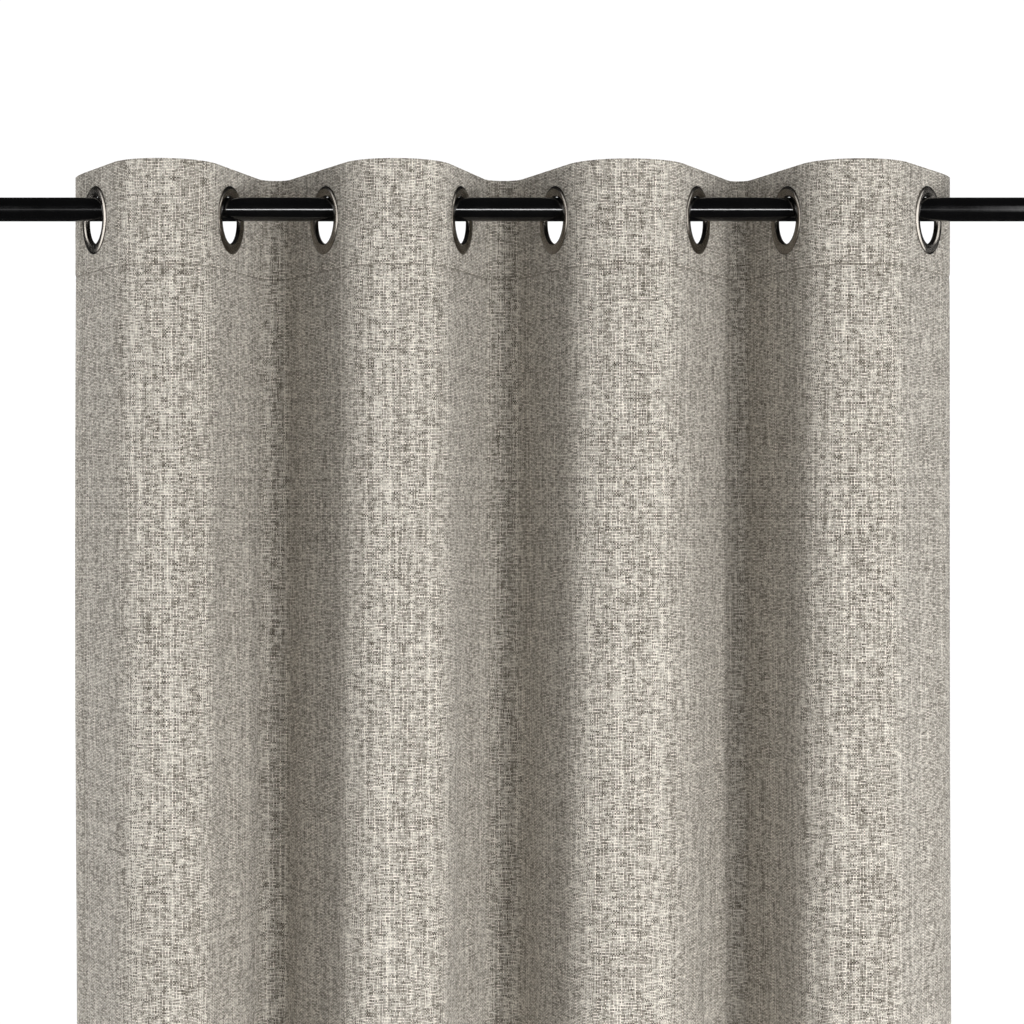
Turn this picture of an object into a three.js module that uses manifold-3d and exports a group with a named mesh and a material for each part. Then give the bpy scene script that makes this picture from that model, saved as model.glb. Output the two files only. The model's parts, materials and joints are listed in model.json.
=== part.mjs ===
// Window curtain on a telescoping rod: one grommet-top panel, its rod, finials and wall brackets.
//
// Units are millimetres. +X runs along the rod, +Y towards the wall, +Z up. The origin is the centre
// of the left wall plate's back face, which lies on the wall at the height of the rod's axis.
// The cloth is cut at each fold's crest, so every fold turns about the grommet in its middle.

import * as THREE from "three";
import { mergeVertices } from "three/addons/utils/BufferGeometryUtils.js";
import Module from "manifold-3d";

const wasm = await Module();
wasm.setup();

// ---- Driving dimensions ------------------------------------------------------------------------

// Clearances
const touchGap = 0.3; // between pieces that touch
const crestGap = 0.8; // between two folds at their shared crest

// Telescoping rod
const bracketSpan = 920; // between the two wall plates' centres
const rodProjection = 95; // from the wall to the rod's axis
const rodOverhang = 40; // of each tube's end past its bracket
const outerTubeRadius = 9.525;
const outerTubeWall = 0.9;
const mouthSetback = 30; // from the outer tube's mouth to the right bracket
const slideClearance = 0.375; // between the tubes, on the radius
const innerTubeWall = 0.8;
const innerTubeInset = 100; // of the inner tube's hidden end, from the outer tube's left end

// Plastic sleeve on the outer tube's mouth
const sleeveLength = 12;
const sleeveLip = 2;
const sleeveWall = 1.1;

// Finials and the threaded inserts that hold them
const finialBallRadius = 17;
const finialCollarRadius = 11.5;
const finialCollarLength = 6;
const finialNeckRadius = 7.5;
const finialNeckLength = 5;
const insertLength = 18;
const studRadius = 3;
const studLength = 14;

// Wall brackets
const plateWidth = 30;
const plateHeight = 76;
const plateThickness = 4;
const plateCorner = 8;
const wallScrewSpacing = 52;
const wallScrewRadius = 2.1;
const wallScrewLength = 38;
const wallScrewHeadRadius = 4.2;
const wallScrewHeadHeight = 2.6;
const screwHoleClearance = 0.5;
const armRadius = 6;
const rosetteRadius = 11;
const rosetteThickness = 3;
const cradleWall = 4;
const cradleWidth = 16;
const cradleLip = 6; // of the cradle's two sides above the rod's axis
const cradleClearance = 0.4;
const clampScrewRadius = 2.5;
const clampKnobRadius = 7;
const clampKnobHeight = 8;
const clampKnobDrop = 3; // from the cradle's underside to the knob

// Curtain panel
const panelHeight = 2134;
const clothThickness = 1.2;
const headerThickness = 2; // the cloth folded over its stiffener
const headerDepth = 82; // from the top edge to the header's seam
const grommetPitch = 172.5; // along the flat cloth
const sideMargin = 56.75; // from an outer grommet's centre to the side edge, along the cloth
const grommetDrop = 41.4; // from the top edge to the grommets' centres
// between the cloth at each grommet and the rod, in degrees: the panel hangs unevenly
const flankAngles = [61, 75, 62.5, 73.5, 67.5, 66, 71.5, 59].map(THREE.MathUtils.degToRad);
const flatMargin = 1; // of flat cloth past a grommet's flange, before a front crest or an edge curls
const backCrestRadii = [14, 17, 10];
const edgeCurl = THREE.MathUtils.degToRad(12);

// Grommets
const throatRadius = 18.8;
const barrelWall = 1.1;
const socketWall = 1;
const flangeWidth = 8.45; // from the throat to the flange's rim
const flangeEdge = 0.9; // height of the flange's outer edge
const flangeHeight = 2.2;
const hangGap = 0.6; // between a grommet's throat and the top of the rod

// Facets
const tubeFacets = 24;
const grommetFacets = 20;
const knobFacets = 12;
const frontCrestChords = 7;
const backCrestChords = 5;

// ---- Values that follow ------------------------------------------------------------------------

const innerTubeRadius = outerTubeRadius - outerTubeWall - slideClearance;
const rodLeftEnd = -rodOverhang;
const rodRightEnd = bracketSpan + rodOverhang;
const outerTubeMouth = bracketSpan - mouthSetback;
const innerTubeStart = rodLeftEnd + innerTubeInset;
const flangeRadius = throatRadius + flangeWidth;
const flatLength = flangeRadius + flatMargin;
const grommetZ = outerTubeRadius + hangGap - throatRadius;
const clothHoleRadius = throatRadius + barrelWall + touchGap + socketWall + touchGap;
const spans = flankAngles.slice(1).map((after, i) => {
  const before = flankAngles[i];
  const isFront = i % 2 === 0;
  return span(before, after, isFront ? frontCrestRadius(before, after) : backCrestRadii[(i - 1) / 2]);
});

/** The front crest's radius that leaves just the flat length beside the steeper of its two grommets. */
function frontCrestRadius(before, after) {
  const [gentle, steep] = [before, after].sort((a, b) => a - b);
  const flats = flatLength * (1 + Math.sin(steep) / Math.sin(gentle));
  return (grommetPitch - flats) / (gentle + steep + (Math.cos(gentle) - Math.cos(steep)) / Math.sin(gentle));
}

/**
 * The cloth between two grommets: two straights that meet a round crest. It is cut at the middle of
 * its width, so that every fold can turn by the same angle and keep its grommet on the rod.
 */
function span(before, after, radius) {
  const bulge = (angle) => (radius * (1 - Math.cos(angle))) / Math.sin(angle);
  const straights = grommetPitch - radius * (before + after);
  const depth = (straights + bulge(before) + bulge(after)) / (1 / Math.sin(before) + 1 / Math.sin(after));
  const straight = (angle) => depth / Math.sin(angle) - bulge(angle);
  const reach = (angle) => straight(angle) * Math.cos(angle) + radius * Math.sin(angle);
  const width = reach(before) + reach(after);
  const cutAngle = Math.asin((reach(before) - width / 2) / radius);
  return {
    width,
    before: { straight: straight(before), radius, turn: before - cutAngle },
    after: { straight: straight(after), radius, turn: after + cutAngle },
  };
}

/** The grommets' places along the rod, from the left, with the panel in the middle. */
function grommetPlaces() {
  const width = spans.reduce((sum, each) => sum + each.width, 0);
  const places = [(bracketSpan - width) / 2];
  for (const each of spans) places.push(places.at(-1) + each.width);
  return places;
}

// ---- Finishes ----------------------------------------------------------------------------------

const blackPaint = new THREE.MeshStandardMaterial({ color: 0x0d0d0e, roughness: 0.22, metalness: 0.4 });
const blackPlastic = new THREE.MeshStandardMaterial({ color: 0x161616, roughness: 0.5, metalness: 0 });
const zincSteel = new THREE.MeshStandardMaterial({ color: 0x9a9a98, roughness: 0.35, metalness: 1 });
const gunmetal = new THREE.MeshStandardMaterial({ color: 0x4b443c, roughness: 0.3, metalness: 0.9 });
const linen = new THREE.MeshStandardMaterial({ color: 0xb8b1a5, roughness: 0.9, metalness: 0 });

// ---- Solids ------------------------------------------------------------------------------------

function toSolid(geometry) {
  const bare = geometry.clone();
  bare.deleteAttribute("normal");
  bare.deleteAttribute("uv");
  const merged = mergeVertices(bare, 1e-4);
  const index = merged.index.array;
  const triVerts = [];
  for (let i = 0; i < index.length; i += 3) {
    const [a, b, c] = index.slice(i, i + 3);
    if (a !== b && b !== c && c !== a) triVerts.push(a, b, c);
  }
  const mesh = new wasm.Mesh({
    numProp: 3,
    vertProperties: new Float32Array(merged.attributes.position.array),
    triVerts: new Uint32Array(triVerts),
  });
  return new wasm.Manifold(mesh);
}

function toGeometry(solid) {
  const { vertProperties, triVerts } = solid.getMesh();
  const geometry = new THREE.BufferGeometry();
  geometry.setAttribute("position", new THREE.BufferAttribute(vertProperties, 3));
  geometry.setIndex(new THREE.BufferAttribute(triVerts, 1));
  geometry.computeVertexNormals();
  return geometry;
}

/** Cuts the cutters out of a geometry. */
function cut(geometry, ...cutters) {
  let solid = toSolid(geometry);
  for (const cutter of cutters) solid = solid.subtract(toSolid(cutter));
  return toGeometry(solid);
}

/** A turned solid about +Y from [radius, height] points, which start and end on the axis or close. */
function turned(points, facets) {
  return new THREE.LatheGeometry(points.map(([r, h]) => new THREE.Vector2(r, h)), facets);
}

/** A turned ring, whose profile closes on itself. */
function turnedRing(points, facets) {
  return turned([...points, points[0]], facets);
}

/** A plain cylinder along Y, for cutting holes. */
function drill(radius, length, facets) {
  return new THREE.CylinderGeometry(radius, radius, length, facets);
}

const object = new THREE.Group();

/** Adds one named piece at a place, after turning it. */
function place(name, geometry, material, x, y, z, turn = new THREE.Euler()) {
  const mesh = new THREE.Mesh(geometry, material);
  mesh.name = name;
  mesh.position.set(x, y, z);
  mesh.rotation.copy(turn);
  object.add(mesh);
}

const alongMinusX = new THREE.Euler(0, 0, Math.PI / 2); // +Y of a turned piece becomes -X
const alongPlusX = new THREE.Euler(0, 0, -Math.PI / 2);

// ---- Rod ---------------------------------------------------------------------------------------

function tube(radius, wall, length) {
  return turnedRing([[radius - wall, 0], [radius, 0], [radius, length], [radius - wall, length]], tubeFacets);
}

/** The plastic cap over the outer tube's mouth that the inner tube slides through. */
function tubeSleeve() {
  const bore = outerTubeRadius + touchGap;
  const throat = innerTubeRadius + touchGap;
  const outside = bore + sleeveWall;
  return turnedRing([
    [bore, -sleeveLength],
    [outside, -sleeveLength],
    [outside, touchGap + sleeveLip],
    [throat, touchGap + sleeveLip],
    [throat, touchGap],
    [bore, touchGap],
  ], tubeFacets);
}

/** The plug in a tube's end, with the stud that the finial screws on. Height 0 is the tube's end. */
function finialInsert(tubeBore) {
  const plug = tubeBore - touchGap;
  return turned([
    [0, -insertLength], [plug, -insertLength], [plug, 0], [studRadius, 0], [studRadius, studLength], [0, studLength],
  ], tubeFacets);
}

/** Collar, neck and ball, with a blind hole for the stud. Height 0 is the tube's end. */
function finial() {
  const hole = studRadius + touchGap;
  const holeTop = studLength + touchGap;
  const neckTop = finialCollarLength + finialNeckLength;
  const firstAngle = Math.asin(finialNeckRadius / finialBallRadius);
  const ballCentre = neckTop + finialBallRadius * Math.cos(firstAngle);
  const rings = 9;
  const points = [
    [0, holeTop], [hole, holeTop], [hole, touchGap], [finialCollarRadius, touchGap],
    [finialCollarRadius, finialCollarLength], [finialNeckRadius, finialCollarLength + finialNeckLength / 3],
  ];
  for (let i = 0; i <= rings; i++) {
    const angle = firstAngle + ((Math.PI - firstAngle) * i) / rings;
    const radius = i === rings ? 0 : finialBallRadius * Math.sin(angle);
    points.push([radius, ballCentre - finialBallRadius * Math.cos(angle)]);
  }
  return turned(points, tubeFacets);
}

place("outer_tube", tube(outerTubeRadius, outerTubeWall, outerTubeMouth - rodLeftEnd), blackPaint,
  rodLeftEnd, -rodProjection, 0, alongPlusX);
place("inner_tube", tube(innerTubeRadius, innerTubeWall, rodRightEnd - innerTubeStart), blackPaint,
  innerTubeStart, -rodProjection, 0, alongPlusX);
place("tube_sleeve", tubeSleeve(), blackPlastic, outerTubeMouth, -rodProjection, 0, alongPlusX);

const rodEnds = [
  { side: "left", x: rodLeftEnd, bore: outerTubeRadius - outerTubeWall, turn: alongMinusX },
  { side: "right", x: rodRightEnd, bore: innerTubeRadius - innerTubeWall, turn: alongPlusX },
];
for (const { side, x, bore, turn } of rodEnds) {
  place(`finial_insert_${side}`, finialInsert(bore), blackPlastic, x, -rodProjection, 0, turn);
  place(`finial_${side}`, finial(), blackPaint, x, -rodProjection, 0, turn);
}

// ---- Wall brackets -----------------------------------------------------------------------------

/** The plate in the wall's plane: its back face is at y = 0 and its front face towards -Y. */
function wallPlate() {
  const w = plateWidth / 2;
  const h = plateHeight / 2;
  const shape = new THREE.Shape();
  shape.absarc(w - plateCorner, h - plateCorner, plateCorner, 0, Math.PI / 2);
  shape.absarc(plateCorner - w, h - plateCorner, plateCorner, Math.PI / 2, Math.PI);
  shape.absarc(plateCorner - w, plateCorner - h, plateCorner, Math.PI, 1.5 * Math.PI);
  shape.absarc(w - plateCorner, plateCorner - h, plateCorner, 1.5 * Math.PI, 2 * Math.PI);
  const plate = new THREE.ExtrudeGeometry(shape, { depth: plateThickness, bevelEnabled: false, curveSegments: 4 });
  plate.rotateX(Math.PI / 2);
  const holes = [-1, 1].map((side) => drill(wallScrewRadius + screwHoleClearance, 3 * plateThickness, knobFacets)
    .translate(0, 0, (side * wallScrewSpacing) / 2));
  return cut(plate, ...holes);
}

/** Pan-head screw along +Y. Height 0 is the underside of its head. */
function wallScrew() {
  const tipLength = 2 * wallScrewRadius;
  return turned([
    [0, -wallScrewHeadHeight],
    [wallScrewHeadRadius / 2, -wallScrewHeadHeight],
    [wallScrewHeadRadius, -wallScrewHeadHeight / 2],
    [wallScrewHeadRadius, 0],
    [wallScrewRadius, 0],
    [wallScrewRadius, wallScrewLength - tipLength],
    [0, wallScrewLength],
  ], knobFacets);
}

/** The round arm from the plate to the cradle, along +Y from its cradle end, with a rosette. */
function bracketArm(length) {
  return turned([
    [0, 0], [armRadius, 0], [armRadius, length - 2 * rosetteThickness],
    [rosetteRadius, length - rosetteThickness], [rosetteRadius, length], [0, length],
  ], tubeFacets);
}

/** The open-topped U that the rod lies in, seen along the rod and as wide as cradleWidth. */
function cradle(rodRadius) {
  const inside = rodRadius + cradleClearance;
  const outside = inside + cradleWall;
  const shape = new THREE.Shape();
  shape.moveTo(-outside, cradleLip);
  shape.absarc(0, 0, outside, Math.PI, 1.5 * Math.PI);
  shape.lineTo(outside, -armRadius - touchGap);
  shape.lineTo(outside, cradleLip);
  shape.lineTo(inside, cradleLip);
  shape.absarc(0, 0, inside, 0, Math.PI, true);
  shape.lineTo(-inside, cradleLip);
  const u = new THREE.ExtrudeGeometry(shape, { depth: cradleWidth, bevelEnabled: false, curveSegments: 12 });
  u.translate(0, 0, -cradleWidth / 2);
  // the outline's x becomes +Y and its y becomes +Z
  u.applyMatrix4(new THREE.Matrix4().makeBasis(
    new THREE.Vector3(0, 1, 0), new THREE.Vector3(0, 0, 1), new THREE.Vector3(1, 0, 0),
  ));
  const hole = drill(clampScrewRadius + touchGap, 4 * cradleWall, knobFacets).rotateX(Math.PI / 2);
  return cut(u, hole.translate(0, 0, -outside));
}

/** The thumb screw under a cradle, along +Z, with its tip just below the rod. */
function clampScrew(rodRadius) {
  const tip = -rodRadius - touchGap;
  const knobTop = -rodRadius - cradleClearance - cradleWall - clampKnobDrop;
  const knobFoot = knobTop - clampKnobHeight;
  return turned([
    [0, knobFoot], [clampKnobRadius, knobFoot], [clampKnobRadius, knobTop], [clampScrewRadius, knobTop],
    [clampScrewRadius, tip], [0, tip],
  ], knobFacets).rotateX(Math.PI / 2);
}

const brackets = [
  { side: "left", x: 0, rodRadius: outerTubeRadius },
  { side: "right", x: bracketSpan, rodRadius: innerTubeRadius },
];
for (const { side, x, rodRadius } of brackets) {
  const armStart = -rodProjection + rodRadius + cradleClearance + cradleWall + touchGap;
  const armEnd = -plateThickness - touchGap;
  place(`bracket_plate_${side}`, wallPlate(), blackPaint, x, 0, 0);
  place(`bracket_arm_${side}`, bracketArm(armEnd - armStart), blackPaint, x, armStart, 0);
  place(`bracket_cradle_${side}`, cradle(rodRadius), blackPaint, x, -rodProjection, 0);
  place(`clamp_screw_${side}`, clampScrew(rodRadius), blackPaint, x, -rodProjection, 0);
  for (const [end, sign] of [["upper", 1], ["lower", -1]]) {
    place(`wall_screw_${side}_${end}`, wallScrew(), zincSteel,
      x, -plateThickness - touchGap, (sign * wallScrewSpacing) / 2);
  }
}

// ---- Curtain panel -----------------------------------------------------------------------------

/** Walks a plan line from the origin: straight and round stretches, each { length, turn, chords }. */
function walk(heading, stretches) {
  const points = [new THREE.Vector2()];
  let angle = heading;
  for (const { length, turn = 0, chords = 1 } of stretches) {
    const bend = turn / chords;
    const flat = bend === 0 ? 1 : Math.sin(bend / 2) / (bend / 2);
    for (let i = 0; i < chords; i++) {
      const direction = angle + bend / 2;
      const step = new THREE.Vector2(Math.cos(direction), Math.sin(direction));
      points.push(points.at(-1).clone().addScaledVector(step, (flat * length) / chords));
      angle += bend;
    }
  }
  return points;
}

/** The cloth's way from a grommet, which it leaves at a heading, to the cut on a crest. */
function crestWay(heading, { straight, radius, turn }, chords) {
  const kept = turn - crestGap / 2 / radius;
  return walk(heading, [{ length: straight }, { length: radius * kept, turn: kept, chords }]);
}

/** The side margin, which runs back from an outer grommet and curls towards the wall. */
function edgeWay(heading) {
  const curlLength = sideMargin - flatLength;
  return walk(heading, [{ length: flatLength }, { length: curlLength, turn: -edgeCurl, chords: 3 }]);
}

/** A plan outline of even thickness on both sides of a line of points. */
function thicken(line, thickness) {
  const left = [];
  const right = [];
  line.forEach((point, i) => {
    const before = point.clone().sub(line[Math.max(i - 1, 0)]).normalize();
    const after = line[Math.min(i + 1, line.length - 1)].clone().sub(point).normalize();
    const along = before.add(after).normalize();
    const isEnd = i === 0 || i === line.length - 1;
    const mitre = isEnd ? 1 : along.dot(after);
    const normal = new THREE.Vector2(-along.y, along.x).multiplyScalar(thickness / 2 / mitre);
    left.push(point.clone().add(normal));
    right.push(point.clone().sub(normal));
  });
  return new THREE.Shape([...left, ...right.reverse()]);
}

/** Cloth standing on a plan line, between two depths below the top edge, about a grommet's centre. */
function clothOn(line, mirrored, thickness, fromDepth, toDepth) {
  const plan = mirrored ? line.map((p) => new THREE.Vector2(-p.x, p.y)).reverse() : line;
  const depth = toDepth - fromDepth;
  const cloth = new THREE.ExtrudeGeometry(thicken(plan, thickness), { depth, bevelEnabled: false });
  return cloth.translate(0, 0, grommetDrop - toDepth);
}

/** Turns a grommet's own axis, +Y, to its fold's normal, with a facet's corner at the very top. */
function grommetTurn(angle, mirrored) {
  const normal = new THREE.Vector3(Math.sin(angle), Math.cos(angle), 0);
  if (mirrored) normal.x *= -1;
  const up = new THREE.Vector3(0, 0, 1);
  const facing = normal.negate(); // the front half's side, towards the room
  const basis = new THREE.Matrix4().makeBasis(new THREE.Vector3().crossVectors(facing, up), facing, up);
  return new THREE.Euler().setFromRotationMatrix(basis);
}

/** The front half: a domed flange and the barrel that passes through the cloth. */
function grommetFront() {
  const seat = headerThickness / 2 + touchGap;
  const crown = seat + flangeHeight;
  const barrelEnd = -seat - flangeHeight / 2;
  const middle = (throatRadius + flangeRadius) / 2;
  return turnedRing([
    [throatRadius + barrelWall, barrelEnd],
    [throatRadius + barrelWall, seat],
    [flangeRadius, seat],
    [flangeRadius, seat + flangeEdge],
    [flangeRadius - barrelWall, crown - flangeHeight / 5],
    [middle, crown],
    [throatRadius + barrelWall, crown - flangeHeight / 5],
    [throatRadius, seat + flangeHeight / 2],
    [throatRadius, barrelEnd],
  ], grommetFacets);
}

/** The back half: a domed flange and the socket that snaps over the front half's barrel. */
function grommetBack() {
  const seat = headerThickness / 2 + touchGap;
  const crown = seat + flangeHeight;
  const bore = throatRadius + barrelWall + touchGap;
  const socket = bore + socketWall;
  const middle = (throatRadius + flangeRadius) / 2;
  return turnedRing([
    [bore, flangeHeight / 5 - crown],
    [middle, -crown],
    [flangeRadius - barrelWall, flangeHeight / 5 - crown],
    [flangeRadius, -seat - flangeEdge],
    [flangeRadius, -seat],
    [socket, -seat],
    [socket, seat - touchGap],
    [bore, seat - touchGap],
  ], grommetFacets);
}

grommetPlaces().forEach((x, i) => {
  const number = i + 1;
  const angle = flankAngles[i];
  const mirrored = number % 2 === 0; // its front crest is to its left
  const turn = grommetTurn(angle, mirrored);
  const isFirst = i === 0;
  const isLast = i === flankAngles.length - 1;
  const frontHalf = mirrored ? spans[i - 1].after : spans[i].before;
  const backHalf = mirrored ? spans[i]?.before : spans[i - 1]?.after;
  const edge = edgeWay(Math.PI - angle);
  let back;
  if (isFirst) back = edge.slice(0, 2);
  else if (isLast) back = edge;
  else back = crestWay(Math.PI - angle, backHalf, backCrestChords);
  const line = [...back.slice(1).reverse(), ...crestWay(-angle, frontHalf, frontCrestChords)];
  const hole = drill(clothHoleRadius, 4 * headerThickness, grommetFacets);
  hole.applyMatrix4(new THREE.Matrix4().makeRotationFromEuler(turn));
  const header = cut(clothOn(line, mirrored, headerThickness, 0, headerDepth), hole);
  const drop = clothOn(line, mirrored, clothThickness, headerDepth + touchGap, panelHeight);
  place(`header_${number}`, header, linen, x, -rodProjection, grommetZ);
  place(`drop_${number}`, drop, linen, x, -rodProjection, grommetZ);
  place(`grommet_front_${number}`, grommetFront(), gunmetal, x, -rodProjection, grommetZ, turn);
  place(`grommet_back_${number}`, grommetBack(), gunmetal, x, -rodProjection, grommetZ, turn);
  if (isFirst) {
    // the strip beyond the first grommet starts one crest gap past its fold
    const [near, far] = edge.slice(1, 3);
    const start = near.clone().lerp(far, crestGap / near.distanceTo(far));
    const hem = clothOn([start, ...edge.slice(2)], mirrored, headerThickness, 0, panelHeight);
    place("return_edge", hem, linen, x, -rodProjection, grommetZ);
  }
});

export default object;
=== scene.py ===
"""A grommet-top linen curtain panel on a black telescoping rod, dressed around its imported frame.

Everything is in metres in the row frame: +X along the rod, +Y to the wall, +Z up. The cloth is one
flat sheet, measured by (along, down): along its width from the left edge, and down from its top
edge. The pleat plan says where each point of that sheet hangs.
"""

import json
import logging
import math
from collections.abc import Iterable, Sequence
from dataclasses import dataclass, field
from enum import Enum

import bmesh
import bpy
import numpy as np
from mathutils import Matrix, Vector

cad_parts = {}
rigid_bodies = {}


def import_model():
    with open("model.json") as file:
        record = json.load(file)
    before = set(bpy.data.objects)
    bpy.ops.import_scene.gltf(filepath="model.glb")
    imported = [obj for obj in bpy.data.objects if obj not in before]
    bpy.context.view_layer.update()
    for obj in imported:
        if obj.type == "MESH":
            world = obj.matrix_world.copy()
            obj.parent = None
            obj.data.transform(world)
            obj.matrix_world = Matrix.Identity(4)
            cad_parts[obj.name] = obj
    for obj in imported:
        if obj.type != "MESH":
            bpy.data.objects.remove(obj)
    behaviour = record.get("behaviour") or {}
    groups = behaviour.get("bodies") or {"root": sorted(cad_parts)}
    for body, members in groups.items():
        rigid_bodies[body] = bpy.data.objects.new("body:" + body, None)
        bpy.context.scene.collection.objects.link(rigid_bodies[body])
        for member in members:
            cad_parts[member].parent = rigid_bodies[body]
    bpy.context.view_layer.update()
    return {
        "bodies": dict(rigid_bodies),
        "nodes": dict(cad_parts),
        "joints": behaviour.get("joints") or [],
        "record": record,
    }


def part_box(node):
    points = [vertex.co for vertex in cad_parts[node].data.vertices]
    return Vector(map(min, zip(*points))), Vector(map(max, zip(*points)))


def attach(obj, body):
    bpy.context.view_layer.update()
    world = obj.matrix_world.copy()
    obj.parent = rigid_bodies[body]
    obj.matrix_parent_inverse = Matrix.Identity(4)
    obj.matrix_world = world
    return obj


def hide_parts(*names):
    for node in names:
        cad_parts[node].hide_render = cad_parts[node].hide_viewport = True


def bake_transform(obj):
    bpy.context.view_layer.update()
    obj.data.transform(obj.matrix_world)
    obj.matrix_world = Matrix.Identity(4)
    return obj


log = logging.getLogger("curtain")

MM = 0.001
FLAT_CLOTH = "cloth"
Profile = list[tuple[float, float]]
Colour = tuple[float, float, float]


class Slot(Enum):
    """The record's material slots."""

    ENAMEL = "black_enamel"
    PLASTIC = "black_plastic"
    ZINC = "zinc_screw"
    GUNMETAL = "gunmetal_grommet"
    LINEN = "linen_cloth"


class Side(Enum):
    """The two ends of the rod, with the direction that each faces along X."""

    LEFT = -1
    RIGHT = 1

    @property
    def word(self) -> str:
        """The side's name as it stands in node names."""
        return self.name.lower()


class Face(Enum):
    """The two faces of the cloth, with the sign of their offset towards the room."""

    ROOM = 1
    WALL = -1


# ---- Shader helpers ----------------------------------------------------------------------------


class NodeSketch:
    """Adds nodes to one shader tree and links them as it goes."""

    def __init__(self, tree: bpy.types.NodeTree) -> None:
        """Keeps the tree that nodes are added to."""
        self.tree = tree

    def add(self, kind: str, **settings: object) -> bpy.types.Node:
        """Adds one node.

        Args:
            kind: The node's type.
            settings: Attributes to set on it.

        Returns:
            The new node.
        """
        node = self.tree.nodes.new(kind)
        for name, value in settings.items():
            setattr(node, name, value)
        return node

    def feed(self, socket: bpy.types.NodeSocket, value: object) -> None:
        """Links a socket to another, or sets its constant.

        Args:
            socket: The socket to feed.
            value: Another socket or a constant.
        """
        if isinstance(value, bpy.types.NodeSocket):
            self.tree.links.new(value, socket)
        else:
            socket.default_value = value

    def _feed_all(self, sockets: Iterable[bpy.types.NodeSocket], values: Iterable[object]) -> None:
        """Feeds several sockets in order."""
        for socket, value in zip(sockets, values):
            self.feed(socket, value)

    def math(self, operation: str, a: object, b: object = 0.0, c: object = 0.0) -> bpy.types.NodeSocket:
        """Adds a Math node.

        Args:
            operation: What it works out.
            a: Its first number.
            b: Its second.
            c: Its third.

        Returns:
            The node's value.
        """
        node = self.add("ShaderNodeMath", operation=operation)
        self._feed_all(node.inputs, (a, b, c))
        return node.outputs[0]

    def mix(self, factor: object, a: object, b: object) -> bpy.types.NodeSocket:
        """Blends two numbers.

        Args:
            factor: How far from the first to the second, from 0 to 1.
            a: The first number.
            b: The second number.

        Returns:
            The blend.
        """
        node = self.add("ShaderNodeMix", data_type="FLOAT")
        self._feed_all((node.inputs[0], node.inputs[2], node.inputs[3]), (factor, a, b))
        return node.outputs[0]

    def blend_colour(self, factor: object, a: object, b: object) -> bpy.types.NodeSocket:
        """Blends two colours.

        Args:
            factor: How far from the first to the second, from 0 to 1.
            a: The first colour.
            b: The second colour.

        Returns:
            The blend.
        """
        node = self.add("ShaderNodeMix", data_type="RGBA")
        self._feed_all((node.inputs[0], node.inputs[6], node.inputs[7]), (factor, a, b))
        return node.outputs[2]

    def vector(self, x: object, y: object, z: object = 0.0) -> bpy.types.NodeSocket:
        """Makes a vector.

        Args:
            x: Its first number.
            y: Its second.
            z: Its third.

        Returns:
            The vector.
        """
        node = self.add("ShaderNodeCombineXYZ")
        self._feed_all(node.inputs, (x, y, z))
        return node.outputs[0]

    def split(self, vector: object) -> tuple[bpy.types.NodeSocket, ...]:
        """Takes a vector apart.

        Args:
            vector: The vector.

        Returns:
            Its three numbers.
        """
        node = self.add("ShaderNodeSeparateXYZ")
        self.feed(node.inputs[0], vector)
        return tuple(node.outputs)

    def noise(
        self, vector: object, scale: object, detail: float = 1.0, roughness: float = 0.5
    ) -> bpy.types.NodeSocket:
        """Adds a Noise Texture.

        Args:
            vector: Where it is read.
            scale: Its scale.
            detail: Its octaves.
            roughness: How strong the finer ones are.

        Returns:
            Its value, about 0.5 on average.
        """
        node = self.add("ShaderNodeTexNoise")
        self.feed(node.inputs["Vector"], vector)
        self.feed(node.inputs["Scale"], scale)
        node.inputs["Detail"].default_value = detail
        node.inputs["Roughness"].default_value = roughness
        return node.outputs[0]

    def spread(
        self, value: object, low: float, high: float, to_low: float, to_high: float
    ) -> bpy.types.NodeSocket:
        """Maps a number from one range to another, and clamps it there.

        Args:
            value: The number.
            low: The start of its range.
            high: The end of its range.
            to_low: What the start becomes.
            to_high: What the end becomes.

        Returns:
            The mapped number.
        """
        node = self.add("ShaderNodeMapRange")
        self._feed_all(node.inputs, (value, low, high, to_low, to_high))
        return node.outputs[0]

    def stretched(self, noise: object) -> bpy.types.NodeSocket:
        """Widens a noise's usual range to 0 to 1."""
        return self.spread(noise, 0.3, 0.7, 0.0, 1.0)

    def ramp(self, value: object, stops: Sequence[tuple[float, Colour]]) -> bpy.types.NodeSocket:
        """Adds a Color Ramp.

        Args:
            value: Where on it the colour is read.
            stops: Each stop's place and colour.

        Returns:
            The colour.
        """
        node = self.add("ShaderNodeValToRGB")
        self.feed(node.inputs[0], value)
        elements = node.color_ramp.elements
        while len(elements) < len(stops):
            elements.new(0.5)
        for element, (place, colour) in zip(elements, stops):
            element.position = place
            element.color = (*colour, 1.0)
        return node.outputs[0]

    def bump(self, height: object, strength: float, distance: float) -> bpy.types.NodeSocket:
        """Adds a Bump node.

        Args:
            height: The height that varies over the surface, from 0 to 1.
            strength: How much of the bump is used.
            distance: How deep the height's full range is.

        Returns:
            The normal.
        """
        node = self.add("ShaderNodeBump")
        node.inputs["Strength"].default_value = strength
        node.inputs["Distance"].default_value = distance
        self.feed(node.inputs["Height"], height)
        return node.outputs[0]


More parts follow.
